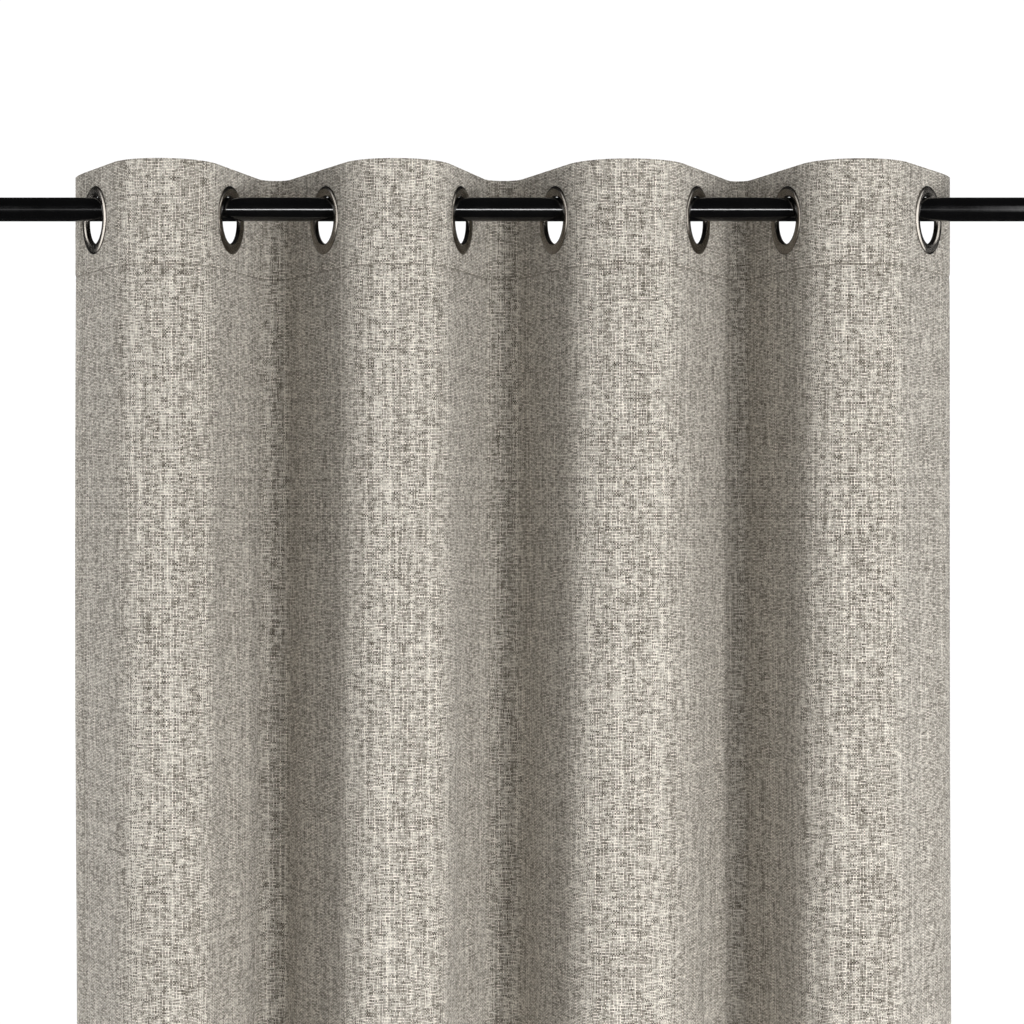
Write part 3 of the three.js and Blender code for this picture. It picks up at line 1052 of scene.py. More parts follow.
@dataclass
class Cloth:
    """The hung sheet: where each point of the flat cloth lies, and how thick it is there."""

    pleats: Pleats
    first_grommet: Vector
    top: float
    length: float
    seam_drop: float
    grommet_drop: float
    bottom_hem: float = 100 * MM
    side_hem: float = 25 * MM
    hem_turn: float = 4 * MM
    cloth_half: float = 0.6 * MM
    edge_round: float = 1.0 * MM
    plan_step: float = 0.2 * MM
    hole_radius: float = 21.5 * MM
    _plan: dict[str, np.ndarray] = field(default_factory=dict)

    def __post_init__(self) -> None:
        """Walks the plan line once, from the first grommet both ways."""
        knots, headings = self.pleats.headings()
        count = int(round(self.pleats.width / self.plan_step)) + 1
        along = np.linspace(0.0, self.pleats.width, count)
        heading = np.interp(along, knots, headings)
        middle = (heading[1:] + heading[:-1]) / 2
        step = along[1] - along[0]
        x = np.concatenate([[0.0], np.cumsum(np.cos(middle) * step)])
        y = np.concatenate([[0.0], np.cumsum(np.sin(middle) * step)])
        start = self.pleats.grommet(0)
        x += self.first_grommet.x - np.interp(start, along, x)
        y += self.first_grommet.y - np.interp(start, along, y)
        self._plan = {"along": along, "x": x, "y": y, "heading": heading}

    def _near(self, value: np.ndarray, place: float, width: float) -> np.ndarray:
        """1 at a place, falling to 0 over a width on both sides."""
        return np.exp(-(((value - place) / width) ** 2))

    def _before(self, distance: np.ndarray, width: float) -> np.ndarray:
        """1 below zero, 0 above it, with a rounded fall between."""
        return 1 / (1 + np.exp(np.clip(distance / width, -40, 40)))

    @property
    def hem_line(self) -> float:
        """How far down the bottom hem's seam lies."""
        return self.length - self.bottom_hem

    def relief(self, along: np.ndarray, down: np.ndarray) -> np.ndarray:
        """How far the cloth stands off its plan line towards the room, from drape and sewing.

        Args:
            along: Distances along the sheet.
            down: Distances below its top edge.

        Returns:
            The distances, from slow and fine waves, seam puckers and creases at the grommets.
        """
        below = np.clip((down - self.seam_drop) / 0.35, 0, 1)
        slow = 1.6 * MM * np.sin(along * 41 + 1.1 * np.sin(down * 2.3) + 0.6) * np.sin(down * 1.7 + along * 9)
        slow += 1.0 * MM * np.sin(along * 67 + down * 1.9 + 2.0)
        fine = 0.35 * MM * np.sin(along * 190 + 2.4 * np.sin(down * 3.1))
        fine = fine * np.sin(down * 5.3 + along * 31 + 1.0)
        result = below * (slow + fine)
        pucker = 0.42 * MM * np.sin(along * 520 + 1.7 * np.sin(along * 61)) * (0.6 + 0.4 * np.sin(along * 37))
        result += pucker * self._near(down, self.seam_drop, 6 * MM)
        result += 0.8 * pucker * self._near(down, self.hem_line, 7 * MM)
        for i in range(len(self.pleats.flank_degrees)):
            result += self._grommet_creases(along - self.pleats.grommet(i), down - self.grommet_drop, i)
        return result

    def _grommet_creases(self, beside: np.ndarray, below: np.ndarray, index: int) -> np.ndarray:
        """Soft creases that run from under a grommet out to its two crests.

        Args:
            beside: Distances along the sheet from the grommet's centre.
            below: Distances below it.
            index: The grommet's number, from 0.

        Returns:
            How far the creases stand towards the room.
        """
        radius = np.hypot(beside, below)
        start = np.clip((radius - 26 * MM) / (10 * MM), 0, 1)
        fade = start * np.exp(-np.clip(radius - 34 * MM, 0, None) / (26 * MM))
        lean = 0.12 * math.sin(2.1 * index + 0.7)
        result = np.zeros(np.broadcast(beside, below).shape)
        for slope, depth in ((0.62 + lean, -0.75 * MM), (1.25 - lean, 0.55 * MM), (0.12, 0.35 * MM)):
            for hand in (-1, 1):
                direction = np.array([hand * math.cos(slope), math.sin(slope)])
                outward = beside * direction[0] + below * direction[1]
                across = beside * direction[1] - below * direction[0]
                result += np.where(outward > 0, depth * self._near(across, 0.0, 4.5 * MM), 0.0) * fade
        return result

    def drift(self, along: np.ndarray, down: np.ndarray) -> tuple[np.ndarray, np.ndarray]:
        """How far the folds wander from their plan as they fall.

        Args:
            along: Distances along the sheet.
            down: Distances below its top edge.

        Returns:
            The distances along the rod, and those towards the wall.
        """
        fall = np.clip((down - self.seam_drop) / 1.2, 0, 1)
        ease = fall * fall * (3 - 2 * fall)
        sideways = 4.0 * MM * ease * np.sin(along * 4.1 + down * 2.2 + 0.5)
        inward = 3.0 * MM * ease * np.sin(along * 5.3 + down * 1.6 + 1.9)
        return sideways, inward

    def thickness(self, along: np.ndarray, down: np.ndarray, face: Face) -> np.ndarray:
        """From the plan line to a face of the cloth.

        Args:
            along: Distances along the sheet.
            down: Distances below its top edge.
            face: Which face.

        Returns:
            The distances, thicker in the header and hems and thinner at the seams and edges.
        """
        far_hem = self.pleats.width - self.side_hem
        if face is Face.ROOM:
            result = self.cloth_half + 0.25 * MM * self._before(down - self.seam_drop, 0.8 * MM)
            for place in (self.seam_drop, self.hem_line):
                result = result - 0.6 * MM * self._near(down, place, 1.3 * MM)
            for place in (self.side_hem, far_hem):
                result = result - 0.25 * MM * self._near(along, place, 1.1 * MM)
        else:
            turn = self.hem_turn
            distances = (
                down - self.seam_drop - turn,
                self.hem_line - turn - down,
                along - self.side_hem - turn,
                far_hem - turn - along,
            )
            doubled = [self._before(distance, 0.35 * MM) + 0 * down for distance in distances]
            result = self.cloth_half + 0.55 * MM * np.maximum.reduce(doubled)
            for place in (self.seam_drop, self.hem_line):
                result = result - 0.3 * MM * self._near(down, place, 0.9 * MM)
        edges = (along, self.pleats.width - along, down, self.length - down)
        edge = np.minimum.reduce([distance + 0 * down for distance in edges])
        inset = np.clip(edge / self.edge_round, 0, 1)
        return result * np.sqrt(np.clip(1 - (1 - inset) ** 2, 0, 1))

    def points(self, along: np.ndarray, down: np.ndarray, face: Face, lift: float = 0.0) -> np.ndarray:
        """Where points of the flat sheet hang.

        Args:
            along: Distances along the sheet.
            down: Distances below its top edge, which broadcast against along.
            face: Which face of the cloth.
            lift: Extra distance off that face.

        Returns:
            Points as an array whose last axis is x, y, z.
        """
        plan = self._plan
        x = np.interp(along, plan["along"], plan["x"])
        y = np.interp(along, plan["along"], plan["y"])
        heading = np.interp(along, plan["along"], plan["heading"])
        sideways, inward = self.drift(along, down)
        stand = self.relief(along, down) + face.value * (self.thickness(along, down, face) + lift)
        return np.stack(
            [
                x + sideways + np.sin(heading) * stand,
                y + inward - np.cos(heading) * stand,
                (self.top - down) + 0 * stand,
            ],
            axis=-1,
        )

    def rows(self) -> np.ndarray:
        """Distances below the top edge at which the mesh has a row.

        Returns:
            The distances, close together at seams and edges.
        """
        rim = self.edge_round * np.array([0, 0.08, 0.25, 0.5, 0.8, 1.0])
        seam = np.array([-4, -2.5, -1.6, -0.9, -0.4, 0, 0.4, 0.9, 1.6, 2.6, 3.4, 3.8, 4.2, 4.7, 6]) * MM
        hem = self.hem_line
        header = np.arange(3.0, 77.5, 2.2) * MM
        upper = self.seam_drop + np.arange(9, 60, 3.4) * MM
        fall = np.linspace(upper[-1] + 7 * MM, hem - 8 * MM, 205)
        foot = np.linspace(hem + 9 * MM, self.length - 3 * MM, 14)
        upper_rows = [rim, header, self.seam_drop + seam, upper, fall]
        rows = np.concatenate([*upper_rows, hem - seam[::-1], foot, self.length - rim])
        return np.unique(np.round(rows, 7))

    def columns(self, start: float, end: float) -> np.ndarray:
        """Distances along the sheet at which the mesh has a column.

        Args:
            start: Where the strip starts.
            end: Where it ends.

        Returns:
            The distances, close together at side hems and edges.
        """
        columns = np.linspace(start, end, int(round((end - start) / (2.3 * MM))) + 1)
        rim = self.edge_round * np.array([0, 0.08, 0.25, 0.5, 0.8, 1.0])
        seam = np.array([-2, -1, 0, 1, 2, 3.4, 4.0, 4.7]) * MM
        if start == 0:
            columns = np.concatenate([rim, self.side_hem + seam, columns[2:]])
        if end == self.pleats.width:
            columns = np.concatenate([end - rim, end - self.side_hem - seam, columns[:-2]])
        return np.unique(np.round(columns, 7))


@dataclass
class ClothStrip:
    """The cloth from one grommet's centre line to the next, or from a side edge to a grommet."""

    cloth: Cloth
    index: int

    @property
    def start(self) -> float:
        """Where the strip starts along the flat sheet."""
        return 0.0 if self.index == 0 else self.cloth.pleats.grommet(self.index - 1)

    @property
    def end(self) -> float:
        """Where the strip ends along the flat sheet."""
        last = len(self.cloth.pleats.flank_degrees)
        return self.cloth.pleats.width if self.index == last else self.cloth.pleats.grommet(self.index)

    def _grid(self, columns: np.ndarray, rows: np.ndarray) -> tuple[np.ndarray, np.ndarray, np.ndarray]:
        """The flat grid with the grommet holes cut out and their rims made round.

        Args:
            columns: Distances along the sheet.
            rows: Distances below its top edge.

        Returns:
            The flat place of every vertex, as two arrays, and the kept quads.
        """
        along, down = (a.ravel() for a in np.meshgrid(columns, rows, indexing="xy"))
        wide, tall = len(columns), len(rows)
        corner = (np.arange(tall - 1)[:, None] * wide + np.arange(wide - 1)[None, :]).ravel()
        quads = np.stack([corner, corner + 1, corner + wide + 1, corner + wide], axis=1)
        for place in (self.start, self.end):
            if place in (0.0, self.cloth.pleats.width):
                continue
            beside, below = along - place, down - self.cloth.grommet_drop
            radius = np.hypot(beside, below)
            inside = radius < self.cloth.hole_radius
            quads = quads[~inside[quads].all(axis=1)]
            scale = np.where(inside & (radius > 0), self.cloth.hole_radius / np.maximum(radius, 1e-9), 1.0)
            along = place + beside * scale
            down = self.cloth.grommet_drop + below * scale
        return along, down, quads

    def build(self, linen: bpy.types.Material, lining: bpy.types.Material) -> bpy.types.Object:
        """Makes the strip as a closed sheet with two faces and round edges.

        Args:
            linen: The finish of the room side.
            lining: The finish of the wall side.

        Returns:
            The strip.
        """
        along, down, quads = self._grid(self.cloth.columns(self.start, self.end), self.cloth.rows())
        count = len(along)
        room = self.cloth.points(along, down, Face.ROOM)
        wall = self.cloth.points(along, down, Face.WALL)
        edges = np.concatenate([quads[:, [k, (k + 1) % 4]] for k in range(4)])
        keys = np.sort(edges, axis=1)
        _, first, times = np.unique(keys[:, 0] * count + keys[:, 1], return_index=True, return_counts=True)
        rim = edges[first[times == 1]]
        sides = np.stack([rim[:, 1], rim[:, 0], rim[:, 0] + count, rim[:, 1] + count], axis=1)
        faces = np.concatenate([quads, quads[:, ::-1] + count, sides])
        mesh = bpy.data.meshes.new("strip")
        mesh.from_pydata(np.concatenate([room, wall]).tolist(), [], faces.tolist())
        sheet_place = np.tile(np.stack([along, down], axis=1), (2, 1))
        loops = np.empty(len(mesh.loops), np.int32)
        mesh.loops.foreach_get("vertex_index", loops)
        flat = mesh.uv_layers.new(name=FLAT_CLOTH)
        flat.data.foreach_set("uv", sheet_place[loops].ravel().astype(np.float32))
        finish = np.zeros(len(faces), np.int32)
        finish[len(quads) : 2 * len(quads)] = 1
        mesh.polygons.foreach_set("material_index", finish)
        work = bmesh.new()
        work.from_mesh(mesh)
        bpy.data.meshes.remove(mesh)
        loose = [v for v in work.verts if not v.link_faces]
        bmesh.ops.delete(work, geom=loose, context="VERTS")
        return new_piece(f"cloth_strip_{self.index}", closed_mesh(work, 2e-7, 60.0), linen, lining)

    def stitches(self, tree: RepeatTree, thread: bpy.types.Material) -> bpy.types.Object:
        """Sews the strip's hems with rows of thread on both faces.

        Args:
            tree: The tree that sets stitches along lines.
            thread: Their finish.

        Returns:
            All the strip's stitches as one piece.
        """
        cloth = self.cloth
        step = 2 * MM
        across = np.arange(self.start + step, self.end - step / 2, step)
        fall = np.arange(step, cloth.length - step, 6 * MM)
        lines = []
        for face in Face:
            for down in (cloth.seam_drop, cloth.hem_line):
                lines.append(cloth.points(across, np.full_like(across, down), face, 0.1 * MM))
            for along in (cloth.side_hem, cloth.pleats.width - cloth.side_hem):
                if self.start < along < self.end:
                    lines.append(cloth.points(np.full_like(fall, along), fall, face, 0.1 * MM))
        mesh = tree.along(lines, pitch=3.6 * MM, length=3.0 * MM, radius=0.26 * MM, material=thread)
        return new_piece(f"stitching_{self.index}", mesh, thread)


@dataclass
class Grommet:
    """One grommet: a front half with its barrel, and a back half that snaps over it."""

    index: int
    centre: Vector
    towards_room: Vector
    throat: float = 18.8 * MM
    barrel_wall: float = 1.1 * MM
    flange: float = 27.25 * MM
    crown: float = 1.45 * MM
    rim: float = 0.5 * MM

    def front(self, seat: float, gunmetal: bpy.types.Material) -> bpy.types.Object:
        """Makes the half on the room side.

        Args:
            seat: From the cloth's middle to the flange's underside.
            gunmetal: Its finish.

        Returns:
            The front half.
        """
        barrel = self.throat + self.barrel_wall
        middle = (self.throat + self.flange) / 2
        top = seat + self.crown
        back_end = -seat - self.crown / 3
        corners = [
            (barrel, back_end, 0.3 * MM),
            (barrel, seat, 0.0),
            (self.flange - 1.2 * MM, seat + 0.1 * MM, 0.3 * MM),
            (self.flange, seat, 0.2 * MM),
            (self.flange, seat + self.rim, 1.0 * MM),
            (self.flange - 1.7 * MM, top - 0.05 * MM, 1.6 * MM),
            (middle + 0.6 * MM, top, 1.6 * MM),
            (middle - 1.2 * MM, top - 0.1 * MM, 1.6 * MM),
            (self.throat + 0.8 * MM, top - 0.8 * MM, 1.2 * MM),
            (self.throat, seat - 0.4 * MM, 1.2 * MM),
            (self.throat, back_end, 0.3 * MM),
        ]
        mesh = turned(rounded(corners, True), axis_frame(self.centre, self.towards_room), True)
        return new_piece(f"ring_front_{self.index}", mesh, gunmetal)

    def back(self, seat: float, gunmetal: bpy.types.Material) -> bpy.types.Object:
        """Makes the half on the wall side, over the front half's barrel.

        Args:
            seat: From the cloth's middle to the flange's underside.
            gunmetal: Its finish.

        Returns:
            The back half.
        """
        bore = self.throat + self.barrel_wall + 0.25 * MM
        socket = bore + 1.0 * MM
        middle = (self.throat + self.flange) / 2 + 0.6 * MM
        top = seat + self.crown
        corners = [
            (bore, -top + 0.7 * MM, 0.4 * MM),
            (middle - 0.8 * MM, -top, 1.6 * MM),
            (middle + 0.9 * MM, -top, 1.6 * MM),
            (self.flange - 1.2 * MM, -top + 0.3 * MM, 1.4 * MM),
            (self.flange, -seat - self.rim, 0.7 * MM),
            (self.flange, -seat, 0.2 * MM),
            (socket, -seat - 0.1 * MM, 0.0),
            (socket, seat * 0.6, 0.2 * MM),
            (bore, seat * 0.6, 0.2 * MM),
        ]
        mesh = turned(rounded(corners, True), axis_frame(self.centre, self.towards_room), True)
        return new_piece(f"ring_back_{self.index}", mesh, gunmetal)


@dataclass
class CurtainPanel:
    """The whole panel: its cloth in strips, its stitching and its grommets."""

    finishes: Finishes
    tree: RepeatTree
    pleats: Pleats = field(default_factory=Pleats)
    rigid_reach: float = 11 * MM
    seat: float = 1.15 * MM

    def build(self) -> None:
        """Makes every piece of the panel, and lets the grommets and the last cloth strip ride on their folds.
        """
        count = len(self.pleats.flank_degrees)
        centres = [centre_of(f"grommet_front_{n}", f"grommet_back_{n}") for n in range(1, count + 1)]
        header_low, header_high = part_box("header_1")
        drop_low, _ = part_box("drop_1")
        cloth = Cloth(
            pleats=self.pleats,
            first_grommet=centres[0],
            top=header_high.z,
            length=header_high.z - drop_low.z,
            seam_drop=header_high.z - header_low.z,
            grommet_drop=header_high.z - centres[0].z,
        )
        for number, centre in enumerate(centres, start=1):
            self._hang_grommet(number, centre)
        for index in range(count + 1):
            self._hang_strip(cloth, index, centres)

    def _hang_grommet(self, number: int, centre: Vector) -> None:
        """Makes one grommet's halves and lets them ride on their fold.

        Args:
            number: The grommet's number, from 1.
            centre: Its centre.
        """
        angle = math.radians(self.pleats.flank_degrees[number - 1])
        hand = -1 if number % 2 else 1
        grommet = Grommet(number, centre, Vector((hand * math.sin(angle), -math.cos(angle), 0)))
        for piece, node in (
            (grommet.front(self.seat, self.finishes.gunmetal), f"grommet_front_{number}"),
            (grommet.back(self.seat, self.finishes.gunmetal), f"grommet_back_{number}"),
        ):
            stand_in(piece, node, f"panel_fold_{number}")

    def _hang_strip(self, cloth: Cloth, index: int, centres: Sequence[Vector]) -> None:
        """Makes one strip of cloth with its stitches, and hangs the last strip on the last fold.

        Args:
            cloth: The hung sheet.
            index: The strip's number, from 0.
            centres: The grommets' centres.
        """
        count = len(centres)
        strip = ClothStrip(cloth, index)
        sheet = strip.build(self.finishes.linen, self.finishes.lining)
        sewing = strip.stitches(self.tree, self.finishes.thread)
        if index < count:
            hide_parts(f"header_{index + 1}", f"drop_{index + 1}")
        if index == 0:
            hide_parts("return_edge")
        for piece in (sheet, sewing):
            if index == count:
                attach(piece, f"panel_fold_{count}")
                continue
            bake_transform(piece)
        strip.end - strip.start
        log.info("cloth strip %d of %d hangs", index, count)


# ---- Rod ---------------------------------------------------------------------------------------


@dataclass
class Rod:
    """The telescoping rod: two tubes, the sleeve between them and a ball finial at each end."""

    finishes: Finishes
    outer_wall: float = 0.9 * MM
    inner_wall: float = 0.8 * MM
    outer_clearance: float = 0.1 * MM
    inner_clearance: float = 0.2 * MM
    grip_groove: float = 0.35 * MM
    collar: float = 11.5 * MM
    neck: float = 7.5 * MM
    hole: float = 3.3 * MM
    hole_depth: float = 14 * MM

    def _tube(self, node: str, name: str, wall: float) -> bpy.types.Object:
        """Makes one tube as a thin wall with rounded mouths.

        Args:
            node: Its CAD node.
            name: Its name.
            wall: How thick its wall is.

        Returns:
            The tube.
        """
        low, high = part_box(node)
        radius = (high.z - low.z) / 2
        length = high.x - low.x
        lip = 0.35 * wall
        corners = [(radius - wall, 0, lip), (radius, 0, lip)]
        corners += [(radius, length * k / 6, 0.0) for k in range(1, 6)]
        corners += [(radius, length, lip), (radius - wall, length, lip)]
        mesh = turned(rounded(corners, True), self._along_rod(node, low.x), True)
        return new_piece(name, mesh, self.finishes.enamel)

    def _along_rod(self, node: str, start: float, direction: int = 1) -> Matrix:
        """A frame whose Z runs along a node's own axis from a start."""
        middle = centre_of(node)
        return axis_frame(Vector((start, middle.y, middle.z)), Vector((direction, 0, 0)))

    def _sleeve(self) -> bpy.types.Object:
        """Makes the plastic sleeve on the outer tube's mouth, with two grip grooves.

        Returns:
            The sleeve.
        """
        low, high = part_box("tube_sleeve")
        outer = (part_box("outer_tube")[1].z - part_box("outer_tube")[0].z) / 2
        inner = (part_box("inner_tube")[1].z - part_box("inner_tube")[0].z) / 2
        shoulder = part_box("outer_tube")[1].x - low.x + self.outer_clearance
        outside, length = (high.z - low.z) / 2, high.x - low.x
        bore, throat = outer + self.outer_clearance, inner + self.inner_clearance
        corners = [(bore, 0, 0.2 * MM), (outside, 0, 0.5 * MM)]
        for place in (0.3, 0.5):
            corners.append((outside, length * place - 0.5 * MM, 0.2 * MM))
            corners.append((outside - self.grip_groove, length * place, 0.2 * MM))
            corners.append((outside, length * place + 0.5 * MM, 0.2 * MM))
        corners += [
            (outside, length, 0.9 * MM),
            (throat, length, 0.3 * MM),
            (throat, shoulder, 0.1 * MM),
            (bore, shoulder, 0.1 * MM),
        ]
        mesh = turned(rounded(corners, True), self._along_rod("tube_sleeve", low.x), True)
        return new_piece("rod_mouth_sleeve", mesh, self.finishes.plastic)

    def _finial(self, side: Side) -> bpy.types.Object:
        """Makes a finial: a collar with a bead and a groove, a waisted neck and a ball with a tip.

        Args:
            side: Its end of the rod.

        Returns:
            The finial.
        """
        node = f"finial_{side.word}"
        low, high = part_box(node)
        ball = (high.z - low.z) / 2
        first = math.asin(self.neck / ball)
        ball_centre = high.x - low.x - ball
        collar, neck, hole = self.collar, self.neck, self.hole
        corners = [
            (0.0, self.hole_depth, 0.0),
            (hole, self.hole_depth, 0.0),
            (hole, 0.2 * MM, 0.3 * MM),
            (collar - 0.6 * MM, 0.0, 0.6 * MM),
            (collar, 1.2 * MM, 0.8 * MM),
            (collar, 2.6 * MM, 0.6 * MM),
            (collar - 1.2 * MM, 3.3 * MM, 0.5 * MM),
            (collar - 1.2 * MM, 3.9 * MM, 0.5 * MM),
            (collar - 0.3 * MM, 4.7 * MM, 0.8 * MM),
            (collar - 1.6 * MM, 6.2 * MM, 1.0 * MM),
            (neck - 0.4 * MM, 8.2 * MM, 2.0 * MM),
            (neck, ball_centre - ball * math.cos(first), 0.0),
        ]
        profile = rounded(corners, False)
        steps = 28
        for k in range(1, steps + 1):
            angle = first + (math.pi - first) * k / steps
            radius = 0.0 if k == steps else ball * math.sin(angle)
            profile.append((radius, ball_centre - ball * math.cos(angle)))
        foot = low.x if side is Side.RIGHT else high.x
        mesh = turned(profile, self._along_rod(node, foot, side.value), False, 72)
        return new_piece(f"ball_finial_{side.word}", mesh, self.finishes.enamel)

    def build(self) -> None:
        """Makes the rod's pieces and says what each rides on."""
        outer = self._tube("outer_tube", "rod_outer_tube", self.outer_wall)
        inner = self._tube("inner_tube", "rod_inner_tube", self.inner_wall)
        stand_in(outer, "outer_tube", "fixed_rod")
        stand_in(self._sleeve(), "tube_sleeve", "fixed_rod")
        stand_in(self._finial(Side.LEFT), "finial_left", "fixed_rod")
        stand_in(inner, "inner_tube", "sliding_rod")
        stand_in(self._finial(Side.RIGHT), "finial_right", "sliding_rod")


# ---- Wall brackets -----------------------------------------------------------------------------


def helix(
    middle: Vector, axis: str, radius: float, turns: int, steps: int, reach: tuple[float, float]
) -> np.ndarray:
    """A screw thread's line.

    Args:
        middle: A point on the screw's axis.
        axis: Which way the screw points, Y or Z.
        radius: The line's distance from the axis.
        turns: How often it goes round.
        steps: Points in each turn.
        reach: Where it starts and ends along the axis.

    Returns:
        The line's points.
    """
    angles = np.linspace(0, math.tau * turns, turns * steps)
    run = np.linspace(*reach, len(angles))
    x, other = middle.x + radius * np.cos(angles), radius * np.sin(angles)
    if axis == "Y":
        return np.stack([x, run, middle.z + other], axis=1)
    return np.stack([x, middle.y + other, run], axis=1)


@dataclass
class Bracket:
    """One wall bracket: its plate, screws, arm, cradle and thumb screw."""

    finishes: Finishes
    tree: RepeatTree
    side: Side
    arm_radius: float = 6 * MM
    clamp_shank: float = 2.5 * MM
    knob_height: float = 8 * MM
    knob_flutes: int = 20
    screw_shank: float = 2.1 * MM
    screw_head_height: float = 2.6 * MM
    recess_width: float = 0.75 * MM
    recess_depth: float = 1.9 * MM

    @property
    def body(self) -> str:
        """The CAD body that the bracket rides on."""
        return "fixed_rod" if self.side is Side.LEFT else "sliding_rod"

    def _arm(self) -> None:
        """Makes the round arm, with a stepped rosette against the plate."""
        node = f"bracket_arm_{self.side.word}"
        low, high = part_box(node)
        middle = centre_of(node)
        length = high.y - low.y
        rosette = (high.z - low.z) / 2
        arm = self.arm_radius
        corners = [
            (0.0, 0.0, 0.0),
            (arm, 0.0, 0.5 * MM),
            (arm, length - 9.5 * MM, 1.5 * MM),
            (arm + 1.3 * MM, length - 8 * MM, 0.8 * MM),
            (arm + 1.3 * MM, length - 6.6 * MM, 0.8 * MM),
            (arm + 0.3 * MM, length - 5.6 * MM, 0.8 * MM),
            (rosette - 1.5 * MM, length - 3.2 * MM, 1.6 * MM),
            (rosette, length - 2.2 * MM, 0.8 * MM),
            (rosette, length, 0.3 * MM),
            (0.0, length, 0.0),
        ]
        place = axis_frame(Vector((middle.x, low.y, middle.z)), Vector((0, 1, 0)))
        mesh = turned(rounded(corners, False), place, False, 72)
        piece = new_piece(f"turned_arm_{self.side.word}", mesh, self.finishes.enamel)
        stand_in(piece, node, self.body)

    def _pressed(self, solid: bpy.types.Object, node: str, name: str, width: float) -> None:
        """Makes a pressed or cast piece from its plain solid, with rounded edges.

        Args:
            solid: The plain solid.
            node: The CAD node that it is.
            name: The piece's name.
            width: The rounding's width.
        """
        piece = new_piece(name, bevelled_copy(solid, width), self.finishes.enamel)
        stand_in(piece, node, self.body)

    def _thumb_screw(self) -> None:
        """Makes the thumb screw: a knob with finger flutes and a threaded shank."""
        node = f"clamp_screw_{self.side.word}"
        low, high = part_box(node)
        middle = centre_of(node)
        knob, shank, height = (high.x - low.x) / 2, self.clamp_shank, self.knob_height
        length = high.z - low.z
        corners = [
            (0.0, 0.6 * MM, 0.0),
            (knob * 0.55, 0.6 * MM, 0.4 * MM),
            (knob * 0.62, 0.0, 0.4 * MM),
            (knob - 1.1 * MM, 0.0, 0.9 * MM),
            (knob - 0.7 * MM, 1.2 * MM, 0.6 * MM),
            (knob - 0.7 * MM, height - 1.2 * MM, 0.6 * MM),
            (knob - 1.2 * MM, height, 0.9 * MM),
            (shank + 0.8 * MM, height, 0.5 * MM),
            (shank - 0.3 * MM, height + 0.8 * MM, 0.3 * MM),
            (shank - 0.3 * MM, length - 0.6 * MM, 0.3 * MM),
            (shank - 0.9 * MM, length, 0.2 * MM),
            (0.0, length, 0.0),
        ]
        enamel = self.finishes.enamel
        frame = axis_frame(Vector((middle.x, middle.y, low.z)), Vector((0, 0, 1)))
        core = turned(rounded(corners, False), frame, False, 64)
        core.materials.append(enamel)
        belt, half_dash = low.z + height * 0.5, 0.05 * MM
        flutes = []
        for angle in np.linspace(0, math.tau, self.knob_flutes, endpoint=False):
            x = middle.x + (knob - 0.9 * MM) * math.cos(angle)
            y = middle.y + (knob - 0.9 * MM) * math.sin(angle)
            flutes.append(np.array([(x, y, belt - half_dash), (x, y, belt + half_dash)]))
        ribs = self.tree.along(flutes, pitch=1.0, length=height * 0.78, radius=0.85 * MM, material=enamel)
        reach = (low.z + height + 1.2 * MM, high.z - 0.8 * MM)
        line = helix(middle, "Z", shank - 0.25 * MM, 14, 24, reach)
        thread = self.tree.along([line], 0.5 * MM, 0.9 * MM, 0.25 * MM, enamel)
        piece = new_piece(f"thumb_screw_{self.side.word}", joined([core, ribs, thread]), enamel)
        smooth_shaded(piece.data)
        stand_in(piece, node, f"{self.side.word}_clamp")

    def _cut_recess(self, screw: bpy.types.Object, place: Vector, turn: float, length: float) -> None:
        """Cuts one slot of a cross recess into a screw's head.

        Args:
            screw: The screw.
            place: The middle of its head.
            turn: The slot's direction about the screw's axis.
            length: The slot's length.
        """
        work = bmesh.new()
        bmesh.ops.create_cube(work, size=1.0)
        scale = Matrix.Diagonal((length, self.recess_depth, self.recess_width, 1.0))
        spin = Matrix.Rotation(turn, 4, "Y")
        bmesh.ops.transform(work, matrix=Matrix.Translation(place) @ spin @ scale, verts=work.verts)
        blade_mesh = bpy.data.meshes.new("recess")
        work.to_mesh(blade_mesh)
        work.free()
        blade = new_piece("recess", blade_mesh)
        cut = screw.modifiers.new("recess", "BOOLEAN")
        cut.object, cut.operation, cut.solver = blade, "DIFFERENCE", "EXACT"
        evaluated = screw.evaluated_get(bpy.context.evaluated_depsgraph_get())
        shaped = bpy.data.meshes.new_from_object(evaluated)
        screw.modifiers.clear()
        screw.data = shaped
        bpy.data.objects.remove(blade)

